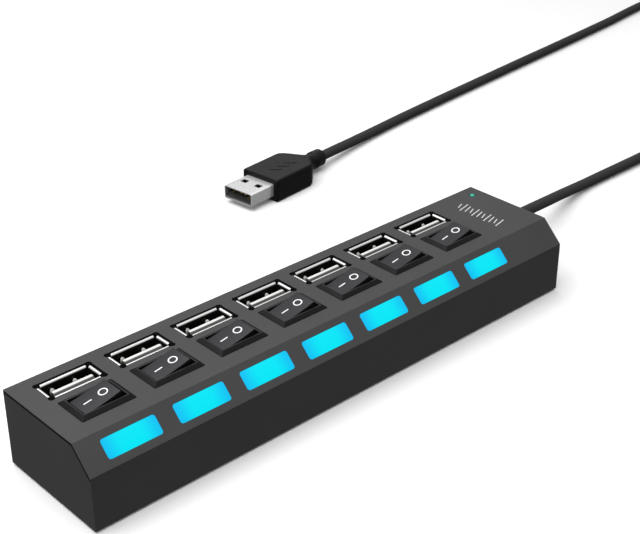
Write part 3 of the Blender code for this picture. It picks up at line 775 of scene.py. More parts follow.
@dataclass
class Housing:
    """Cover, tray, black end strips of painted shade and feet of the hub."""

    slope_run: float = 6.25 * MM
    slope_fall: float = 6.1 * MM
    rim: float = 0.3 * MM
    shadow_gap: float = 0.5 * MM
    edge: float = 0.16 * MM
    # Width and set-in of the black end strips that paint the shade in the shadow lines.
    shade_strip_width: float = 0.9 * MM
    shade_strip_inset: float = 0.12 * MM
    strip_depth: float = 0.7 * MM
    strip_proud: float = 0.004 * MM
    bar_count: int = 11
    bar_pitch: float = 1.5 * MM
    bar_heights: tuple[float, ...] = (4.6 * MM, 2.6 * MM, 3.6 * MM)
    bar_slant: float = 0.5 * MM
    bar_width: float = 0.34 * MM
    bar_middle: Pair = (67.9 * MM, 3.1 * MM)
    print_thickness: float = 0.02 * MM
    foot_round: float = 0.35 * MM
    foot_hollow: float = 0.12 * MM
    head_height: float = 1.1 * MM
    shank_radius: float = 1.1 * MM
    cross_width: float = 0.34 * MM
    cross_reach: float = 1.35 * MM
    cross_depth: float = 0.55 * MM

    def __post_init__(self) -> None:
        """Reads the hub's outer sizes from the frame."""
        low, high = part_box("top_cover")
        self.top = high[2]
        self.half_length = high[0]
        self.front = low[1]
        self.back = high[1]
        self.slope_rate = self.slope_fall / self.slope_run
        self.slope_tilt = math.atan(self.slope_rate)

    def section(self, depth: float, inset: float) -> np.ndarray:
        """(y, z) of the back, bend and front of the body's outline, set in by a depth.

        The slope is the line z = top + rate * (y - bend), moved in by depth at right
        angles to itself.

        Args:
            depth: How far the top and the slope are moved in.
            inset: How far the front and back are moved in.

        Returns:
            The three points, shape (3, 2).
        """
        stretch = math.hypot(1.0, self.slope_rate)
        bend = self.front + self.slope_run
        front = self.front + inset
        front_z = self.top + self.slope_rate * (front - bend) - depth * stretch
        bend_y = bend + depth * (stretch - 1) / self.slope_rate
        level = self.top - depth
        return np.array(((self.back - inset, level), (bend_y, level), (front, front_z)))

    def on_slope(self, x: float) -> Matrix:
        """Place on the middle line of the slope, with Z leaving the surface."""
        middle = Vector((x, self.front + self.slope_run / 2, self.top - self.slope_fall / 2))
        return Matrix.Translation(middle) @ Matrix.Rotation(self.slope_tilt, 4, "X")

    def build(self) -> None:
        """Makes every piece of the housing."""
        mesh = edged_copy("top_cover", "cover_shell")
        cover = new_piece("cover_shell", mesh, HOUSING)
        round_edges(cover, self.edge)
        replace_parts(cover, "top_cover")
        mesh = edged_copy("base_tray", "tray_shell")
        tray = new_piece("tray_shell", mesh, UNDERSIDE)
        round_edges(tray, self.edge)
        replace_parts(tray, "base_tray")
        # Black strips of painted shade in the shadow line at each end.
        for side in Side:
            self.build_shade_strip(side)
        self.build_seam_strip("front", self.front, 1.0, self.top - self.slope_fall)
        self.build_seam_strip("back", self.back, -1.0, self.top)
        self.build_bars()
        self.build_feet()
        self.build_screws()
        dress("circuit_board", BOARD)
        dress("hub_controller", CHIP)

    def build_shade_strip(self, side: Side) -> None:
        """Black strip of painted shade in the shadow line between an end wall and the cover, where
        only shade falls.

        Its section is a rectangle carried along the outline's back, bend and front.

        Args:
            side: Which end of the hub it is on.
        """
        outer = self.section(self.rim - 0.05 * MM, self.shade_strip_inset)
        inner = self.section(self.rim + self.shadow_gap + 0.14 * MM, self.shade_strip_inset)
        near = side.value * (self.half_length - 0.01 * MM)
        far = near - side.value * self.shade_strip_width
        corners = [(near, outer), (far, outer), (far, inner), (near, inner)]
        rings = np.stack([joined(x, *line.T) for x, line in corners], axis=1)
        mesh = Shape().add_rings(rings).mesh(f"seal_{side.name.lower()}")
        new_piece(f"end_shade_strip_{side.name.lower()}", mesh, PAINTED_SHADE_BLACK)

    def build_seam_strip(self, name: str, face: float, inwards: float, crease: float) -> None:
        """Strip of the tray's long wall that closes the gap under the cover's edge.

        Args:
            name: Which wall it is on.
            face: Y of the wall's outer face.
            inwards: Sign of Y that leads into the hub.
            crease: Height of the cover's edge above the wall.
        """
        stretch = math.hypot(1.0, self.slope_rate) if inwards > 0 else 1.0
        outer, inner = face - inwards * self.strip_proud, face + inwards * self.strip_depth
        high = crease - (self.rim - 0.12 * MM) * stretch
        low = crease - (self.rim + self.shadow_gap + 0.2 * MM) * stretch
        section = np.array(((outer, low), (inner, low), (inner, high), (outer, high)))
        reach = self.half_length - 0.02 * MM
        rings = np.stack([joined(x, *section.T) for x in (-reach, reach)])
        mesh = Shape().add_rings(rings).mesh(f"seam_{name}")
        new_piece(f"seam_strip_{name}", mesh, HOUSING)

    def build_bars(self) -> None:
        """Printed row of slanted bars beside the last port, with heights that take turns."""
        shape = Shape()
        x, middle_y = self.bar_middle
        z = self.top + self.print_thickness / 2
        for number in range(self.bar_count):
            half = self.bar_heights[number % len(self.bar_heights)] / 2
            y = middle_y + (number - (self.bar_count - 1) / 2) * self.bar_pitch
            ends = np.array((-1.0, 1.0))
            path = joined(x + half * ends, y + self.bar_slant * ends, z)
            shape.add_rings(strip_rings(path, ACROSS, self.bar_width, self.print_thickness))
        new_piece("printed_bars", shape.mesh("printed_bars"), GREY_PRINT)

    def build_feet(self) -> None:
        """Round pads with a rounded lower rim."""
        for number in range(1, 5):
            low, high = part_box(f"foot_{number}")
            radius = (high[0] - low[0]) / 2
            turn = np.linspace(0.0, math.pi / 2, 6)
            out = radius - self.foot_round * (1 - np.sin(turn))
            curve = list(zip(out, self.foot_round * (1 - np.cos(turn))))
            hollow = [(radius * 0.4, self.foot_hollow), (radius * 0.6, 0.0)]
            profile = [*hollow, *curve, (radius, high[2])]
            centre = centre_of(f"foot_{number}")
            place = shifted(centre.x, centre.y)
            mesh = Shape().add_rings(turned_rings(profile, 40), place=place).mesh(f"pad_{number}")
            pad = new_piece(f"foot_pad_{number}", mesh, RUBBER)
            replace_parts(pad, f"foot_{number}")

    def build_screws(self) -> None:
        """Pan-head screws with a cross recess.

        The head's face is a polar grid whose height rises into the head inside a cross:
        the lesser of |x| and |y| under half the slot's width, and the greater under its reach.
        """
        for number in range(1, 5):
            low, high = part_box(f"screw_{number}")
            radius = (high[0] - low[0]) / 2
            centre = centre_of(f"screw_{number}")
            angle = np.arange(96) * (2 * math.pi / 96)
            reach = np.linspace(0.02, 0.9, 22)[:, None] * radius
            across, up = reach * np.cos(angle), reach * np.sin(angle)
            thin = np.minimum(abs(across), abs(up))
            long = np.maximum(abs(across), abs(up))
            slot = np.clip((self.cross_width - thin) / (0.1 * MM), 0, 1)
            slot *= np.clip((self.cross_reach - long) / (0.3 * MM), 0, 1)
            dome = 0.12 * MM * (reach / radius) ** 4
            face = joined(across, up, low[2] + dome + self.cross_depth * slot)
            under = low[2] + self.head_height
            edge = [(radius, low[2] + 0.3 * MM), (radius, under)]
            shank = [(self.shank_radius, under), (self.shank_radius, high[2] - 1 * MM)]
            rest = turned_rings([*edge, *shank, (0.3 * MM, high[2])], 96)
            place = shifted(centre.x, centre.y)
            shape = Shape().add_rings(np.concatenate((face, rest)), place=place)
            mesh = shape.mesh(f"screw_body_{number}")
            screw = new_piece(f"cross_screw_{number}", mesh, ZINC)
            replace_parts(screw, f"screw_{number}")


@dataclass
class Port:
    """One socket: its sheet-metal sleeve, spring fingers, tongue and contacts."""

    number: int
    sheet: float = 0.3 * MM
    corner: float = 0.35 * MM
    sleeve: Pair = (13.3 * MM, 5.4 * MM)
    sleeve_shift: float = -0.15 * MM
    opening: Pair = (15.2 * MM, 7.4 * MM)
    # Round black discs of painted shade at the opening's corners, where the split lips leave dark
    # gaps, and the band of painted shade beside the lips.
    relief: float = 0.88 * MM
    corner_shade_inset: float = 0.45 * MM
    shade_margin: float = 0.3 * MM
    flare: float = 0.62 * MM
    flare_rise: float = 1.0 * MM
    lift: float = 0.18 * MM
    finger_offset: float = 3.1 * MM
    finger_shift: float = -0.8 * MM
    finger_width: float = 1.5 * MM
    finger_bow: float = 1.15 * MM
    finger_length: float = 5.7 * MM
    finger_depth: float = 7.2 * MM
    finger_sheet: float = 0.22 * MM
    # Wall and depth of the black lining of painted shade in the opening.
    shade_liner_wall: Pair = (0.01 * MM, 0.22 * MM)
    shade_liner_depth: Pair = (1.5 * MM, 0.12 * MM)
    block: Pair = (11.9 * MM, 4.5 * MM)
    block_height: float = 3.0 * MM
    blade_width: float = 11.1 * MM
    blade_half: float = 0.92 * MM
    contact_width: float = 0.9 * MM
    contact_bow: float = 0.55 * MM
    contact_offsets: tuple[float, ...] = (-3.5 * MM, -1.0 * MM, 1.0 * MM, 3.5 * MM)

    def __post_init__(self) -> None:
        """Reads the socket's place from the frame."""
        self.node = f"port_shell_{self.number}"
        low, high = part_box(self.node)
        self.x = (low[0] + high[0]) / 2
        self.y = (low[1] + high[1]) / 2
        self.bottom = low[2]
        self.top = high[2] + self.lift

    def build(self) -> None:
        """Makes the socket's pieces."""
        # Black lining of painted shade in the opening.
        self.build_shade_liner()
        self.build_sleeve()
        self.build_fingers()
        self.build_tongue()
        self.build_contacts()

    def build_sleeve(self) -> None:
        """Sleeve with four lips that curl out, split from each other at the corners.

        The sheet is a loop carried up a profile: straight, then an arc of 110 degrees over
        which it moves out by the flare, with out as 1 - cos and height as sin of the angle.
        Cells of the corners are left out along the arc.
        """
        bend = np.linspace(0.0, math.radians(110), 12)
        out = self.flare * (1 - np.cos(bend)) / (1 - math.cos(bend[-1]))
        rise = self.flare_rise * np.sin(bend)
        lip_start = self.top - self.sheet / 2 - self.flare_rise
        profile = [(0.0, self.bottom), *zip(-out, lip_start + rise)]
        steps = 4
        rings = loop_stack(self.sleeve, self.corner, profile, steps)
        rows, columns = rings.shape[:2]
        keep = np.ones((rows - 1, columns), dtype=bool)
        on_corner = np.arange(columns) % (steps + 1) < steps
        keep[1:, on_corner] = False
        place = shifted(self.x + self.sleeve_shift, self.y)
        shape = Shape().add(np.concatenate(rings), Shape.quads(rows, columns, keep), place)
        mesh = shape.mesh(f"sleeve_{self.number}", crease=50.0, outward=False)
        mesh.validate()
        piece = new_piece(f"port_sleeve_{self.number}", mesh, LIP_STEEL)
        thicken(piece, self.sheet)
        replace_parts(piece, self.node)

    def build_shade_liner(self) -> None:
        """Black lining of painted shade in the opening, with a round relief of painted shade at
        each corner.

        It is a thin wall, with a flat band of painted shade on the cover along the back and right
        sides.
        """
        cover_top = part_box("top_cover")[1][2]
        low, high = (cover_top - depth for depth in self.shade_liner_depth)
        outer, inner = self.shade_liner_wall
        profile = [(outer, low), (outer, high), (inner, high), (inner, low), (outer, low)]
        middle = shifted(self.x, self.y)
        rings = loop_stack(self.opening, 0.15 * MM, profile)
        shape = Shape().add_rings(rings, Ends.NONE, middle)
        # Round black discs of painted shade at the corners of the opening.
        relief = turned_rings([(self.relief, low), (self.relief, cover_top + 0.012 * MM)], 20)
        half_x, half_y = self.opening[0] / 2, self.opening[1] / 2
        for across in (-1, 1):
            for along in (-1, 1):
                x, y = across * (half_x - self.corner_shade_inset), along * (half_y - self.corner_shade_inset)
                shape.add_rings(relief, place=middle @ shifted(x, y))
        # Flat black bands of painted shade on the cover along the back and right edges.
        z = cover_top - 0.09 * MM
        for path, side in (
            (joined(np.array((-half_x, half_x)), half_y, z), ACROSS),
            (joined(half_x, np.array((half_y, -half_y)), z), ALONG),
        ):
            shape.add_rings(strip_rings(path, side, 2 * self.shade_margin, 0.2 * MM), place=middle)
        new_piece(f"port_shade_liner_{self.number}", shape.mesh(f"liner_{self.number}"), PAINTED_SHADE_BLACK)

    def build_fingers(self) -> None:
        """Two leaf springs that bow out from the sleeve's back wall.

        Along each spring, with t from 0 to 1, the bow is a depth * sin(0.9 * pi * t ** 1.6),
        and the width narrows to a round end.
        """
        share = np.linspace(0.0, 1.0, 22)
        wall = self.y + self.sleeve[1] / 2 - self.sheet / 2
        bow = self.finger_bow * np.sin(math.pi * 0.9 * share**1.6)
        z = self.top - self.finger_depth + share * self.finger_length
        end = ((share - 0.8) / 0.21).clip(0, 1)
        width = self.finger_width * np.sqrt(np.clip(1 - end**2, 0.06, 1.0))
        shape = Shape()
        for side in (-1, 1):
            x = self.x + self.finger_shift + side * self.finger_offset
            path = joined(x, wall - bow, z)
            shape.add_rings(strip_rings(path, ALONG, width, self.finger_sheet))
        mesh = shape.mesh(f"fingers_{self.number}")
        new_piece(f"port_springs_{self.number}", mesh, FINGER_STEEL)

    def build_tongue(self) -> None:
        """Insulating block with the blade that carries the contacts, its edges softened."""
        node = f"port_tongue_{self.number}"
        low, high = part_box(node)
        blade_y = low[1] + (high[1] - low[1]) / 2 - 1.25 * MM
        self.blade_back = blade_y + self.blade_half
        levels = [(0.0, low[2]), (0.0, low[2] + self.block_height)]
        block = loop_stack(self.block, 0.3 * MM, levels)
        shape = Shape().add_rings(block, place=shifted(self.x, self.y))
        blade = self.blade_rings(low[2] + 2 * MM, high[2])
        shape.add_rings(blade, place=shifted(self.x, blade_y))
        mesh = shape.mesh(f"blade_{self.number}")
        piece = new_piece(f"port_blade_{self.number}", mesh, TONGUE)
        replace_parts(piece, node)

    def blade_rings(self, bottom: float, top: float) -> np.ndarray:
        """Blade that thins towards the mouth: a stack of rounded rectangles that lean back.

        The rows below are height, front, back and inset at the ends, with Y from the
        blade's middle.

        Args:
            bottom: Height of the first ring.
            top: Height of the last.

        Returns:
            Rings, shape (5, points, 3).
        """
        front, back = -self.blade_half, self.blade_half
        stack = (
            (bottom, front, back, 0.0),
            (top - 0.75 * MM, front, back, 0.0),
            (top - 0.2 * MM, front + 0.72 * MM, back - 0.04 * MM, 0.06 * MM),
            (top - 0.06 * MM, front + 0.98 * MM, back - 0.18 * MM, 0.14 * MM),
            (top, front + 1.08 * MM, back - 0.3 * MM, 0.26 * MM),
        )
        rings = []
        for height, low, high, inset in stack:
            loop = rounded_loop((self.blade_width - 2 * inset, high - low), 0.2 * MM)
            rings.append(joined(loop[:, 0], loop[:, 1] + (low + high) / 2, height))
        return np.stack(rings)

    def build_contacts(self) -> None:
        """Four sprung contacts on the back of the blade.

        Each stands off by a bow that is a bell curve about a place near the mouth.
        """
        share = np.linspace(0.0, 1.0, 20)
        z = self.top - 10.0 * MM + share * 9.0 * MM
        bow = 0.07 * MM + self.contact_bow * np.exp(-(((share - 0.72) / 0.14) ** 2))
        shape = Shape()
        for offset in self.contact_offsets:
            path = joined(self.x + offset, self.blade_back + bow, z)
            shape.add_rings(strip_rings(path, ALONG, self.contact_width, 0.15 * MM))
        new_piece(f"port_contacts_{self.number}", shape.mesh(f"contacts_{self.number}"), PORT_GOLD)


@dataclass
class RockerSwitch:
    """One rocker switch: its bezel and housing, its rocker and the printed symbols."""

    number: int
    base: Pair = (14.6 * MM, 10.1 * MM)
    slope_in: float = 1.15 * MM
    height: float = 0.8 * MM
    rim: float = 0.33 * MM
    half_length: float = 5.0 * MM
    half_width: float = 3.3 * MM
    rocker_top: float = 2.05 * MM
    hollow: float = 0.2 * MM
    keel: Pair = (3.0 * MM, 2.2 * MM)
    shoulder: float = 0.6 * MM
    tilt: float = math.radians(12.0)
    round_top: float = 0.3 * MM
    round_side: float = 0.14 * MM
    pin_radius: float = 0.6 * MM
    pin_reach: float = 4.05 * MM
    mark_offset: float = 2.15 * MM
    mark_stroke: float = 0.31 * MM
    mark_half: float = 1.1 * MM
    ring_radius: float = 1.2 * MM
    print_thickness: float = 0.03 * MM

    def __post_init__(self) -> None:
        """Reads the switch's place and pin from the frame."""
        self.frame_node = f"switch_frame_{self.number}"
        self.rocker_node = f"switch_rocker_{self.number}"
        self.body = f"rocker_{self.number}"
        joints = frame["record"]["behaviour"]["joints"]
        joint = next(joint for joint in joints if joint["child"] == self.body)
        self.pin = Vector(joint["pos_m"])
        self.cover_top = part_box("top_cover")[1][2]
        self.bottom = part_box(self.frame_node)[0][2]
        self.turn = Matrix.Translation(self.pin) @ Matrix.Rotation(-self.tilt, 4, "Y")

    def build(self) -> None:
        """Makes the switch's pieces."""
        self.build_bezel()
        self.build_rocker()
        for mark in RockerMark:
            self.build_mark(mark)

    def build_bezel(self) -> None:
        """Housing in one surface: up its outside, over the sloping bezel and down the well."""
        top = self.cover_top + self.height
        seat = self.cover_top + 0.02 * MM
        soft = 0.05 * MM
        well = self.slope_in + self.rim
        profile = [
            (0.7 * MM, self.bottom),
            (0.7 * MM, seat),
            (0.0, seat),
            (0.0, seat + 0.12 * MM),
            (soft, seat + 0.17 * MM),
            (self.slope_in - soft, top - soft),
            (self.slope_in, top),
            (well - soft, top),
            (well, top - soft),
            (well, self.bottom + 1.2 * MM),
        ]
        rings = loop_stack(self.base, 0.3 * MM, profile, steps=3)
        place = shifted(self.pin.x, self.pin.y)
        mesh = Shape().add_rings(rings, place=place).mesh(f"bezel_{self.number}", crease=25.0)
        bezel = new_piece(f"switch_bezel_{self.number}", mesh, BEZEL)
        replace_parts(bezel, self.frame_node)

    def top_height(self, x: np.ndarray) -> np.ndarray:
        """Height of the rocker's hollow top above its pin, a parabola in x."""
        return self.rocker_top + self.hollow * (x / self.half_length) ** 2

    def build_rocker(self) -> None:
        """Rocker: its side outline, with rounded upper corners, carried across its width.

        The two outermost sections at each side are drawn in, which rounds the edges.
        """
        corner, soft = self.round_top, self.round_side
        x = np.linspace(self.half_length - corner, -self.half_length + corner, 25)
        over = joined(x, self.top_height(x))
        arc = np.linspace(0.0, math.pi / 2, 5)
        top = self.top_height(np.array(self.half_length))
        right = joined(
            corner * np.cos(arc) + self.half_length - corner, corner * np.sin(arc) + top - corner
        )
        left = right[::-1] * (-1, 1)
        keel_x, drop = self.keel
        under = np.array(((-self.half_length, -self.shoulder), (-keel_x, -drop), (keel_x, -drop)))
        outline = np.vstack((right, over[1:-1], left, under, [(self.half_length, -self.shoulder)]))
        side = self.half_width
        edges = [(-side, 1.0), (-side + soft * 0.3, 0.35), (-side + soft, 0.0)]
        sections = edges + [(-y, inset) for y, inset in edges[::-1]]
        middle = np.array((0.0, (top - drop) / 2))
        rings = []
        for y, inset in sections:
            scale = 1 - inset * soft / np.array((self.half_length, (top + drop) / 2))
            flat = middle + (outline - middle) * scale
            rings.append(joined(flat[:, 0], y, flat[:, 1]))
        shape = Shape().add_rings(np.stack(rings), place=self.turn)
        ends = [(self.pin_radius, -self.pin_reach), (self.pin_radius, self.pin_reach)]
        pin = turned_rings(ends, 20)
        shape.add_rings(pin, place=self.turn @ Matrix.Rotation(math.pi / 2, 4, "X"))
        mesh = shape.mesh(f"rocker_{self.number}", crease=30.0)
        piece = new_piece(f"rocker_cap_{self.number}", mesh, ROCKER, self.body)
        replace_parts(piece, self.rocker_node)

    def build_mark(self, mark: RockerMark) -> None:
        """Bar for on and ring for off, a thin print that follows the rocker's top.

        Args:
            mark: Which of the two.
        """
        middle = mark.value * self.mark_offset
        if mark is RockerMark.ON:
            x = middle + np.linspace(-self.mark_half, self.mark_half, 9)
            path = joined(x, 0.0, self.top_height(x) + self.print_thickness / 3)
            rings = strip_rings(path, ACROSS, self.mark_stroke, self.print_thickness)
            shape = Shape().add_rings(rings, place=self.turn)
        else:
            shape = self.ring_mark(middle)
        name = f"rocker_{mark.name.lower()}_mark_{self.number}"
        new_piece(name, shape.mesh(name), PRINT, body=self.body)

    def ring_mark(self, middle: float) -> Shape:
        """Ring with a low rectangle for its section: two circles at each radius, joined round.

        Args:
            middle: X of the ring's centre from the pin.

        Returns:
            The ring.
        """
        angle = np.linspace(0.0, 2 * math.pi, 49)
        outer, inner = self.ring_radius, self.ring_radius - self.mark_stroke
        circles = []
        for radius, lift in ((outer, -0.5), (outer, 0.5), (inner, 0.5), (inner, -0.5)):
            x = middle + radius * np.cos(angle)
            z = self.top_height(x) + (1 / 3 + lift) * self.print_thickness
            circles.append(joined(x, radius * np.sin(angle), z))
        return Shape().add_rings(np.stack(circles, axis=1), Ends.NONE, self.turn)


@dataclass
class LitWindow:
    """One lens in the slope and the light behind it."""

    number: int
    housing: Housing
    size: Pair = (14.78 * MM, 4.98 * MM)
    corner: float = 0.75 * MM
    set_back: float = 0.02 * MM
    thickness: float = 2.2 * MM
    soft: float = 0.08 * MM
    glow_stretch: float = 0.6

    def build(self) -> None:
        """Makes the lens, and gives its light a finish."""
        x = centre_of(f"light_window_{self.number}").x
        face, soft = -self.set_back, self.soft
        edge = [(0.0, face - soft), (0.3 * soft, face - 0.3 * soft), (soft, face)]
        rings = loop_stack(self.size, self.corner, [(0.0, -self.thickness), *edge], steps=8)
        shape = Shape().add_rings(rings, place=self.housing.on_slope(x))
        mesh = shape.mesh(f"lens_{self.number}")
        local = rings.reshape(-1, 3) / (self.size[0] / 2)
        local[:, 1] *= self.glow_stretch
        local[:, 2] = np.repeat((1.0, 1.0, 0.8, 0.0), rings.shape[1])
        place_lens(mesh, local)
        lens = new_piece(f"window_lens_{self.number}", mesh, WINDOW)
        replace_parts(lens, f"light_window_{self.number}")
        dress(f"port_led_{self.number}", LED_CLEAR)


@dataclass
class PowerLight:
    """Small domed light pipe in the cover's corner."""

    radius: float = 0.75 * MM
    dome: float = 0.25 * MM
    foot_radius: float = 1.05 * MM
    foot_height: float = 1.5 * MM

    def build(self) -> None:
        """Turns the pipe: a foot, a stem and a shallow dome."""
        low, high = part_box("power_led")
        centre = centre_of("power_led")
        turn = np.linspace(0.0, math.pi / 2, 7)[:-1]
        cap = zip(self.radius * np.cos(turn), high[2] + self.dome * np.sin(turn))
        ledge = low[2] + self.foot_height
        foot = [(self.foot_radius, low[2]), (self.foot_radius, ledge), (self.radius, ledge)]
        rings = turned_rings([*foot, *cap, (0.05 * self.radius, high[2] + self.dome)], 32)
        place = shifted(centre.x, centre.y)
        mesh = Shape().add_rings(rings, place=place).mesh("pipe")
        reach = np.hypot(rings[..., 0], rings[..., 1]).ravel() / self.radius
        place_lens(mesh, joined(reach, 0.0, 0.0))
        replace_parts(new_piece("power_light_pipe", mesh, POWER), "power_led")


@dataclass
class Plug:
    """Plug at the lead's end: steel sleeve, insulator, contacts and moulded grip."""

    tip: Vector
    yaw: float = math.radians(7.0)
    shell: Pair = (12.0 * MM, 4.5 * MM)
    shell_length: float = 13.4 * MM
    sheet: float = 0.3 * MM
    hole_x: Pair = (5.5 * MM, 7.7 * MM)
    hole_y: Pair = (1.8 * MM, 4.2 * MM)
    grip_start: float = 10.7 * MM
    shoulder: float = 27.0 * MM
    neck: float = 36.5 * MM
    grip_end: float = 41.4 * MM
    grip_half: Pair = (7.75 * MM, 4.0 * MM)
    grip_corner: float = 0.9 * MM
    grip_soft: float = 0.5 * MM
    neck_radius: float = 2.75 * MM
    carrier: Pair = (11.1 * MM, 1.7 * MM)
    carrier_start: float = 0.5 * MM
    contact_end: float = 10.5 * MM
    contact_size: Pair = (1.0 * MM, 0.12 * MM)
    chevron_start: float = 16.0 * MM
    chevron_pitch: float = 3.6 * MM
    chevron_size: Pair = (2.2 * MM, 2.6 * MM)

    def __post_init__(self) -> None:
        """Finds the plug's own frame, whose X runs from the tip to the cable."""
        self.place = Matrix.Translation(self.tip) @ Matrix.Rotation(self.yaw, 4, "Z")

    def build(self) -> list[bpy.types.Object]:
        """Makes the plug's pieces, and returns them."""
        metal = [self.build_shell(), self.build_insulator(), self.build_contacts()]
        return [*metal, self.build_grip(), self.build_chevrons()]

    def build_shell(self) -> bpy.types.Object:
        """Sleeve with two square holes in each broad side.

        The sheet is a rounded loop, with stops at the holes' edges, carried along X.
        Cells between the stops are left out where the holes are.

        Returns:
            The piece.
        """
        size = (self.shell[0] - self.sheet, self.shell[1] - self.sheet)
        steps = 5
        quarters = rounded_loop(size, 0.45 * MM, steps).reshape(4, steps + 1, 2)
        inner, outer = self.hole_y
        stops = np.array((outer, inner, -inner, -outer))
        over = joined(stops, size[1] / 2)
        loop = np.vstack((quarters[0], over, quarters[1], quarters[2], -over, quarters[3]))
        along = np.array((0.0, *self.hole_x, self.shell_length))
        points = joined(along[:, None], *loop.T)
        keep = np.ones((len(along) - 1, len(loop)), dtype=bool)
        first_over = steps + 1
        first_under = 3 * (steps + 1) + 4
        for start in (first_over, first_under):
            keep[1, [start, start + 2]] = False
        faces = Shape.quads(len(along), len(loop), keep)
        shape = Shape().add(points.reshape(-1, 3), faces, self.place)
        mesh = shape.mesh("plug_sleeve", 50.0, outward=False)
        piece = new_piece("plug_sleeve", mesh, PLUG_STEEL)
        thicken(piece, self.sheet)
        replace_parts(piece, "plug_shell")
        return piece

    def build_insulator(self) -> bpy.types.Object:
        """Contact carrier in the lower half of the sleeve, with a softened front edge.

        Returns:
            The piece.
        """
        thick = self.carrier[1]
        middle = -self.shell[1] / 2 + self.sheet + 0.15 * MM + thick / 2
        soft, start = 0.15 * MM, self.carrier_start
        edge = [(soft, start), (0.3 * soft, start + 0.3 * soft), (0.0, start + soft)]
        profile = [*edge, (0.0, self.shell_length)]
        rings = loop_stack(self.carrier, 0.2 * MM, profile)[..., [2, 0, 1]]
        place = self.place @ shifted(0.0, 0.0, middle)
        mesh = Shape().add_rings(rings, place=place).mesh("plug_carrier")
        piece = new_piece("plug_carrier", mesh, DARK_INSULATOR)
        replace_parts(piece, "plug_insulator")
        self.carrier_top = middle + thick / 2
        return piece

    def build_contacts(self) -> bpy.types.Object:
        """Four flat contacts on the carrier, the outer two longer.

        Returns:
            The piece.
        """
        shape = Shape()
        width, thickness = self.contact_size
        for offset, start in ((-3.5, 1.2), (-1.0, 2.2), (1.0, 2.2), (3.5, 1.2)):
            x = np.array((start * MM, self.contact_end))
            path = joined(x, offset * MM, self.carrier_top + thickness / 2)
            shape.add_rings(strip_rings(path, ACROSS, width, thickness), place=self.place)
        return new_piece("plug_contacts", shape.mesh("plug_contacts"), GOLD)

    def grip_section(self, x: np.ndarray) -> tuple[np.ndarray, np.ndarray, np.ndarray]:
        """Half width, half thickness and corner radius of the grip along X.

        From the shoulder to the neck each eases from the body's size to the neck's by a
        smoothstep, s * s * (3 - 2 * s); the width falls sooner than the thickness.

        Args:
            x: Places along the plug.

        Returns:
            The three sizes at each place.
        """
        share = np.clip((x - self.shoulder) / (self.neck - self.shoulder), 0.0, 1.0)
        early = np.clip(share * 1.12, 0.0, 1.0)
        ease = early * early * (3 - 2 * early)
        late = share**2 * (3 - 2 * share)
        half_width = self.grip_half[0] + (self.neck_radius - self.grip_half[0]) * ease
        half_thickness = self.grip_half[1] + (self.neck_radius - self.grip_half[1]) * late
        corner = self.grip_corner + (self.neck_radius - self.grip_corner) * late
        greatest = np.minimum(half_width, half_thickness) * 0.999
        return half_width, half_thickness, np.minimum(corner, greatest)

    def build_grip(self) -> bpy.types.Object:
        """Grip lofted from a broad box to a round collar, with soft ends.

        Returns:
            The piece.
        """
        soft = self.grip_soft
        turn = np.linspace(0.0, math.pi / 2, 5)
        front = self.grip_start + soft * (1 - np.sin(turn))
        inset = soft * (1 - np.cos(turn))
        body = np.linspace(self.grip_start + 2 * soft, self.neck, 40)
        steps = (self.neck + 0.1 * MM, self.neck + 0.5 * MM, self.grip_end - 0.5 * MM)
        collar = np.array((*steps, self.grip_end))
        grow = np.array((0.0, 0.35, 0.25, -0.1)) * MM
        along = np.concatenate((front[::-1], body, collar))
        insets = np.concatenate((inset[::-1], np.zeros(len(body)), -grow))
        widths, thicks, corners = self.grip_section(along)
        rings = []
        for x, width, thick, corner, inset_by in zip(along, widths, thicks, corners, insets):
            size = (2 * (width - inset_by), 2 * (thick - inset_by))
            loop = rounded_loop(size, max(corner - inset_by, 0.1 * MM), 8)
            rings.append(joined(x, *loop.T))
        mesh = Shape().add_rings(np.stack(rings), place=self.place).mesh("plug_grip", crease=40.0)
        piece = new_piece("plug_grip", mesh, GRIP)
        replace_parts(piece, "plug_overmold")
        return piece

    def build_chevrons(self) -> bpy.types.Object:
        """Three raised chevrons on the grip, which point to the tip.

        Returns:
            The piece.
        """
        shape = Shape()
        run, reach = self.chevron_size
        for number in range(3):
            nose = self.chevron_start + self.chevron_pitch * number
            x = np.array((nose + run, nose, nose + run))
            path = joined(x, np.array((-reach, 0.0, reach)), self.grip_half[1])
            shape.add_rings(strip_rings(path, ALONG, 0.9 * MM, 0.3 * MM), place=self.place)
        return new_piece("plug_chevrons", shape.mesh("plug_chevrons"), GRIP)


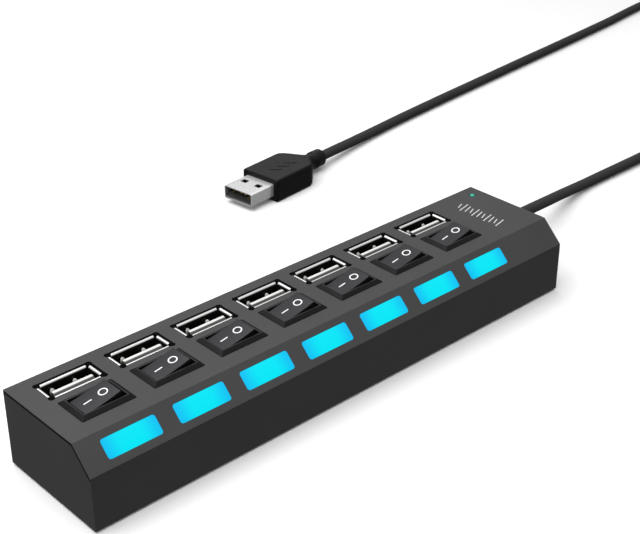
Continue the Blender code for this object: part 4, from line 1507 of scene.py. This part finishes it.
@dataclass
class Lead:
    """Gland at the hub, cable and plug."""

    length: float = 0.6
    radius: float = 1.7 * MM
    flange_radius: float = 3.4 * MM
    neck_radius: float = 2.2 * MM
    collar_radius: float = 2.9 * MM
    sleeve_radii: Pair = (2.85 * MM, 2.1 * MM)
    groove_depth: float = 0.28 * MM
    groove_turns: float = 4.5
    plug_tip: tuple[float, float, float] = (46.9, 87.3, 4.0)
    route: tuple[tuple[float, float, float], ...] = (
        (89.7, 8.0, 11.0),
        (97.0, 8.65, 10.55),
        (105.0, 10.3, 9.25),
        (113.0, 12.55, 7.45),
        (121.0, 15.05, 5.5),
        (130.0, 17.5, 3.5),
        (140.0, 19.1, 2.15),
        (150.0, 19.5, 1.9),
        (172.0, 19.6, 1.9),
        (206.0, 20.2, 1.9),
        (246.0, 23.0, 1.9),
        (290.0, 31.0, 1.9),
        (329.6, 47.5, 1.9),
        (355.6, 70.5, 1.9),
        (364.2, 97.0, 1.9),
        (351.7, 116.5, 1.9),
        (326.7, 122.3, 1.9),
        (284.0, 117.3, 1.9),
        (246.5, 113.2, 1.9),
        (217.1, 110.2, 1.9),
        (188.8, 107.2, 1.9),
        (162.3, 104.4, 1.9),
        (138.2, 101.6, 1.9),
        (120.5, 99.0, 2.1),
        (106.0, 96.3, 2.7),
        (97.0, 94.15, 3.5),
        (88.4, 92.4, 4.0),
    )

    def build(self) -> None:
        """Makes the lead from the hub outwards."""
        gland = self.build_gland()
        plug = Plug(Vector(self.plug_tip) * MM).build()
        path = smooth_route(np.array(self.route) * MM, 520)
        mesh = Shape().add_rings(tube_rings(path, self.radius)).mesh("lead_cable")
        cable = new_piece("lead_cable", mesh, JACKET)
        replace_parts(cable, "cable")

    def build_gland(self) -> bpy.types.Object:
        """Gland turned about the lead: flange, neck and a ribbed sleeve that narrows.

        The grooves have the depth * (0.5 + 0.5 * cos) ** 4 of an angle that turns evenly
        along the sleeve.

        Returns:
            The piece.
        """
        low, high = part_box("strain_relief")
        centre = centre_of("strain_relief")
        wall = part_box("top_cover")[1][0]
        along = np.linspace(0.06, 0.98, 46)
        start, end = self.sleeve_radii
        wave = 0.5 + 0.5 * np.cos(2 * math.pi * self.groove_turns * along)
        radii = start + (end - start) * along - self.groove_depth * wave**4
        inside, outside = wall - 2.1 * MM, wall + 0.2 * MM
        profile = [
            (self.flange_radius, low[0]),
            (self.flange_radius, inside),
            (self.neck_radius, inside),
            (self.neck_radius, outside),
            (self.collar_radius, outside),
            *zip(radii, wall + along * (high[0] - wall)),
            (1.95 * MM, high[0]),
        ]
        rings = turned_rings(profile, 32)[..., [2, 0, 1]]
        place = shifted(0.0, centre.y, centre.z)
        mesh = Shape().add_rings(rings, place=place).mesh("lead_gland")
        piece = new_piece("lead_gland", mesh, JACKET)
        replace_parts(piece, "strain_relief")
        return piece


@dataclass
class Studio:
    """Floor, soft overhead light and camera."""

    camera_at: tuple[float, float, float] = (-0.19824, -0.21776, 0.19119)
    camera_to: tuple[float, float, float] = (0.03819, 0.03852, 0.0006)
    lens: float = 74.81
    overhead: float = 0.9
    horizon: float = 0.16
    below: float = 0.25
    key_at: tuple[float, float, float] = (-0.13, 0.08, 0.42)
    key_to: tuple[float, float, float] = (-0.02, 0.0, 0.0)
    key_power: float = 2.1
    key_size: float = 0.5
    floor_reach: float = 4.0

    def build(self) -> None:
        """Makes the stage."""
        self.build_floor()
        self.build_world()
        self.build_key()
        self.build_camera()
        scene = bpy.context.scene
        scene.view_settings.view_transform = "Standard"
        scene.view_settings.look = "None"

    def build_floor(self) -> None:
        """Wide pale floor that takes soft shadows and gives the object no bounce."""
        mesh = bpy.data.meshes.new("floor")
        corners = np.array(((-1, -1, 0), (1, -1, 0), (1, 1, 0), (-1, 1, 0))) * self.floor_reach
        mesh.from_pydata(corners.tolist(), [], [[0, 1, 2, 3]])
        floor = bpy.data.objects.new("floor", mesh)
        bpy.context.scene.collection.objects.link(floor)
        nodes = Nodes("pale_floor")
        patches = nodes.spread(nodes.noise(0.4), 0.0, 1.0)
        tone = nodes.blend(patches, (0.9, 0.9, 0.9), (0.92, 0.92, 0.92))
        nodes.set_surface(Base_Color=tone, Roughness=0.9, Specular_IOR_Level=0.0)
        mesh.materials.append(nodes.material)
        floor.visible_diffuse = False
        floor.visible_glossy = False

    def build_world(self) -> None:
        """Overhead glow that fades to the horizon, and plain white where the camera sees it."""
        world = bpy.data.worlds.new("studio")
        bpy.context.scene.world = world
        world.use_nodes = True
        world.node_tree.nodes.clear()
        graph = Graph(world.node_tree)
        height = {"Value": graph.upward("Generated"), "From Min": -1.0}
        height = graph.node("ShaderNodeMapRange", height).outputs["Result"]
        ramp = graph.node("ShaderNodeValToRGB", {"Fac": height})
        stops = ramp.color_ramp.elements
        upper = ((0.68, self.overhead * 0.45), (0.85, self.overhead))
        for number, (place, level) in enumerate(((0.3, self.below), (0.5, self.horizon), *upper)):
            stop = stops[number] if number < 2 else stops.new(place)
            stop.position = place
            stop.color = (level, level, level, 1.0)
        light = graph.node("ShaderNodeBackground", {"Color": ramp.outputs["Color"]}).outputs[0]
        white = graph.node("ShaderNodeBackground", {"Color": (1.0, 1.0, 1.0, 1.0)}).outputs[0]
        seen = graph.node("ShaderNodeLightPath").outputs["Is Camera Ray"]
        mix = graph.node("ShaderNodeMixShader", {0: seen, 1: light, 2: white}).outputs[0]
        graph.node("ShaderNodeOutputWorld", {"Surface": mix})

    def build_key(self) -> None:
        """Large soft light above the near end."""
        light = bpy.data.lights.new("key", "AREA")
        light.energy = self.key_power
        light.size = self.key_size
        lamp = bpy.data.objects.new("key", light)
        lamp.location = self.key_at
        aim = Vector(self.key_to) - Vector(self.key_at)
        lamp.rotation_euler = aim.to_track_quat("-Z", "Y").to_euler()
        bpy.context.scene.collection.objects.link(lamp)

    def build_camera(self) -> None:
        """Camera that looks along the hub from its near end."""
        data = bpy.data.cameras.new("camera")
        data.lens = self.lens
        data.sensor_width = 36.0
        data.clip_start = 0.01
        data.clip_end = 20.0
        camera = bpy.data.objects.new("camera", data)
        camera.location = self.camera_at
        aim = Vector(self.camera_to) - Vector(self.camera_at)
        camera.rotation_euler = aim.to_track_quat("-Z", "Y").to_euler()
        bpy.context.scene.collection.objects.link(camera)
        bpy.context.scene.camera = camera


def main() -> None:
    """Builds the stage, then the hub piece by piece."""
    logging.basicConfig(level=logging.INFO, format="%(name)s: %(message)s")
    Studio().build()
    Lead().build()
    housing = Housing()
    housing.build()
    for number in range(1, UNITS + 1):
        Port(number).build()
        RockerSwitch(number).build()
        LitWindow(number, housing).build()
    PowerLight().build()


if __name__ == "__main__":
    main()
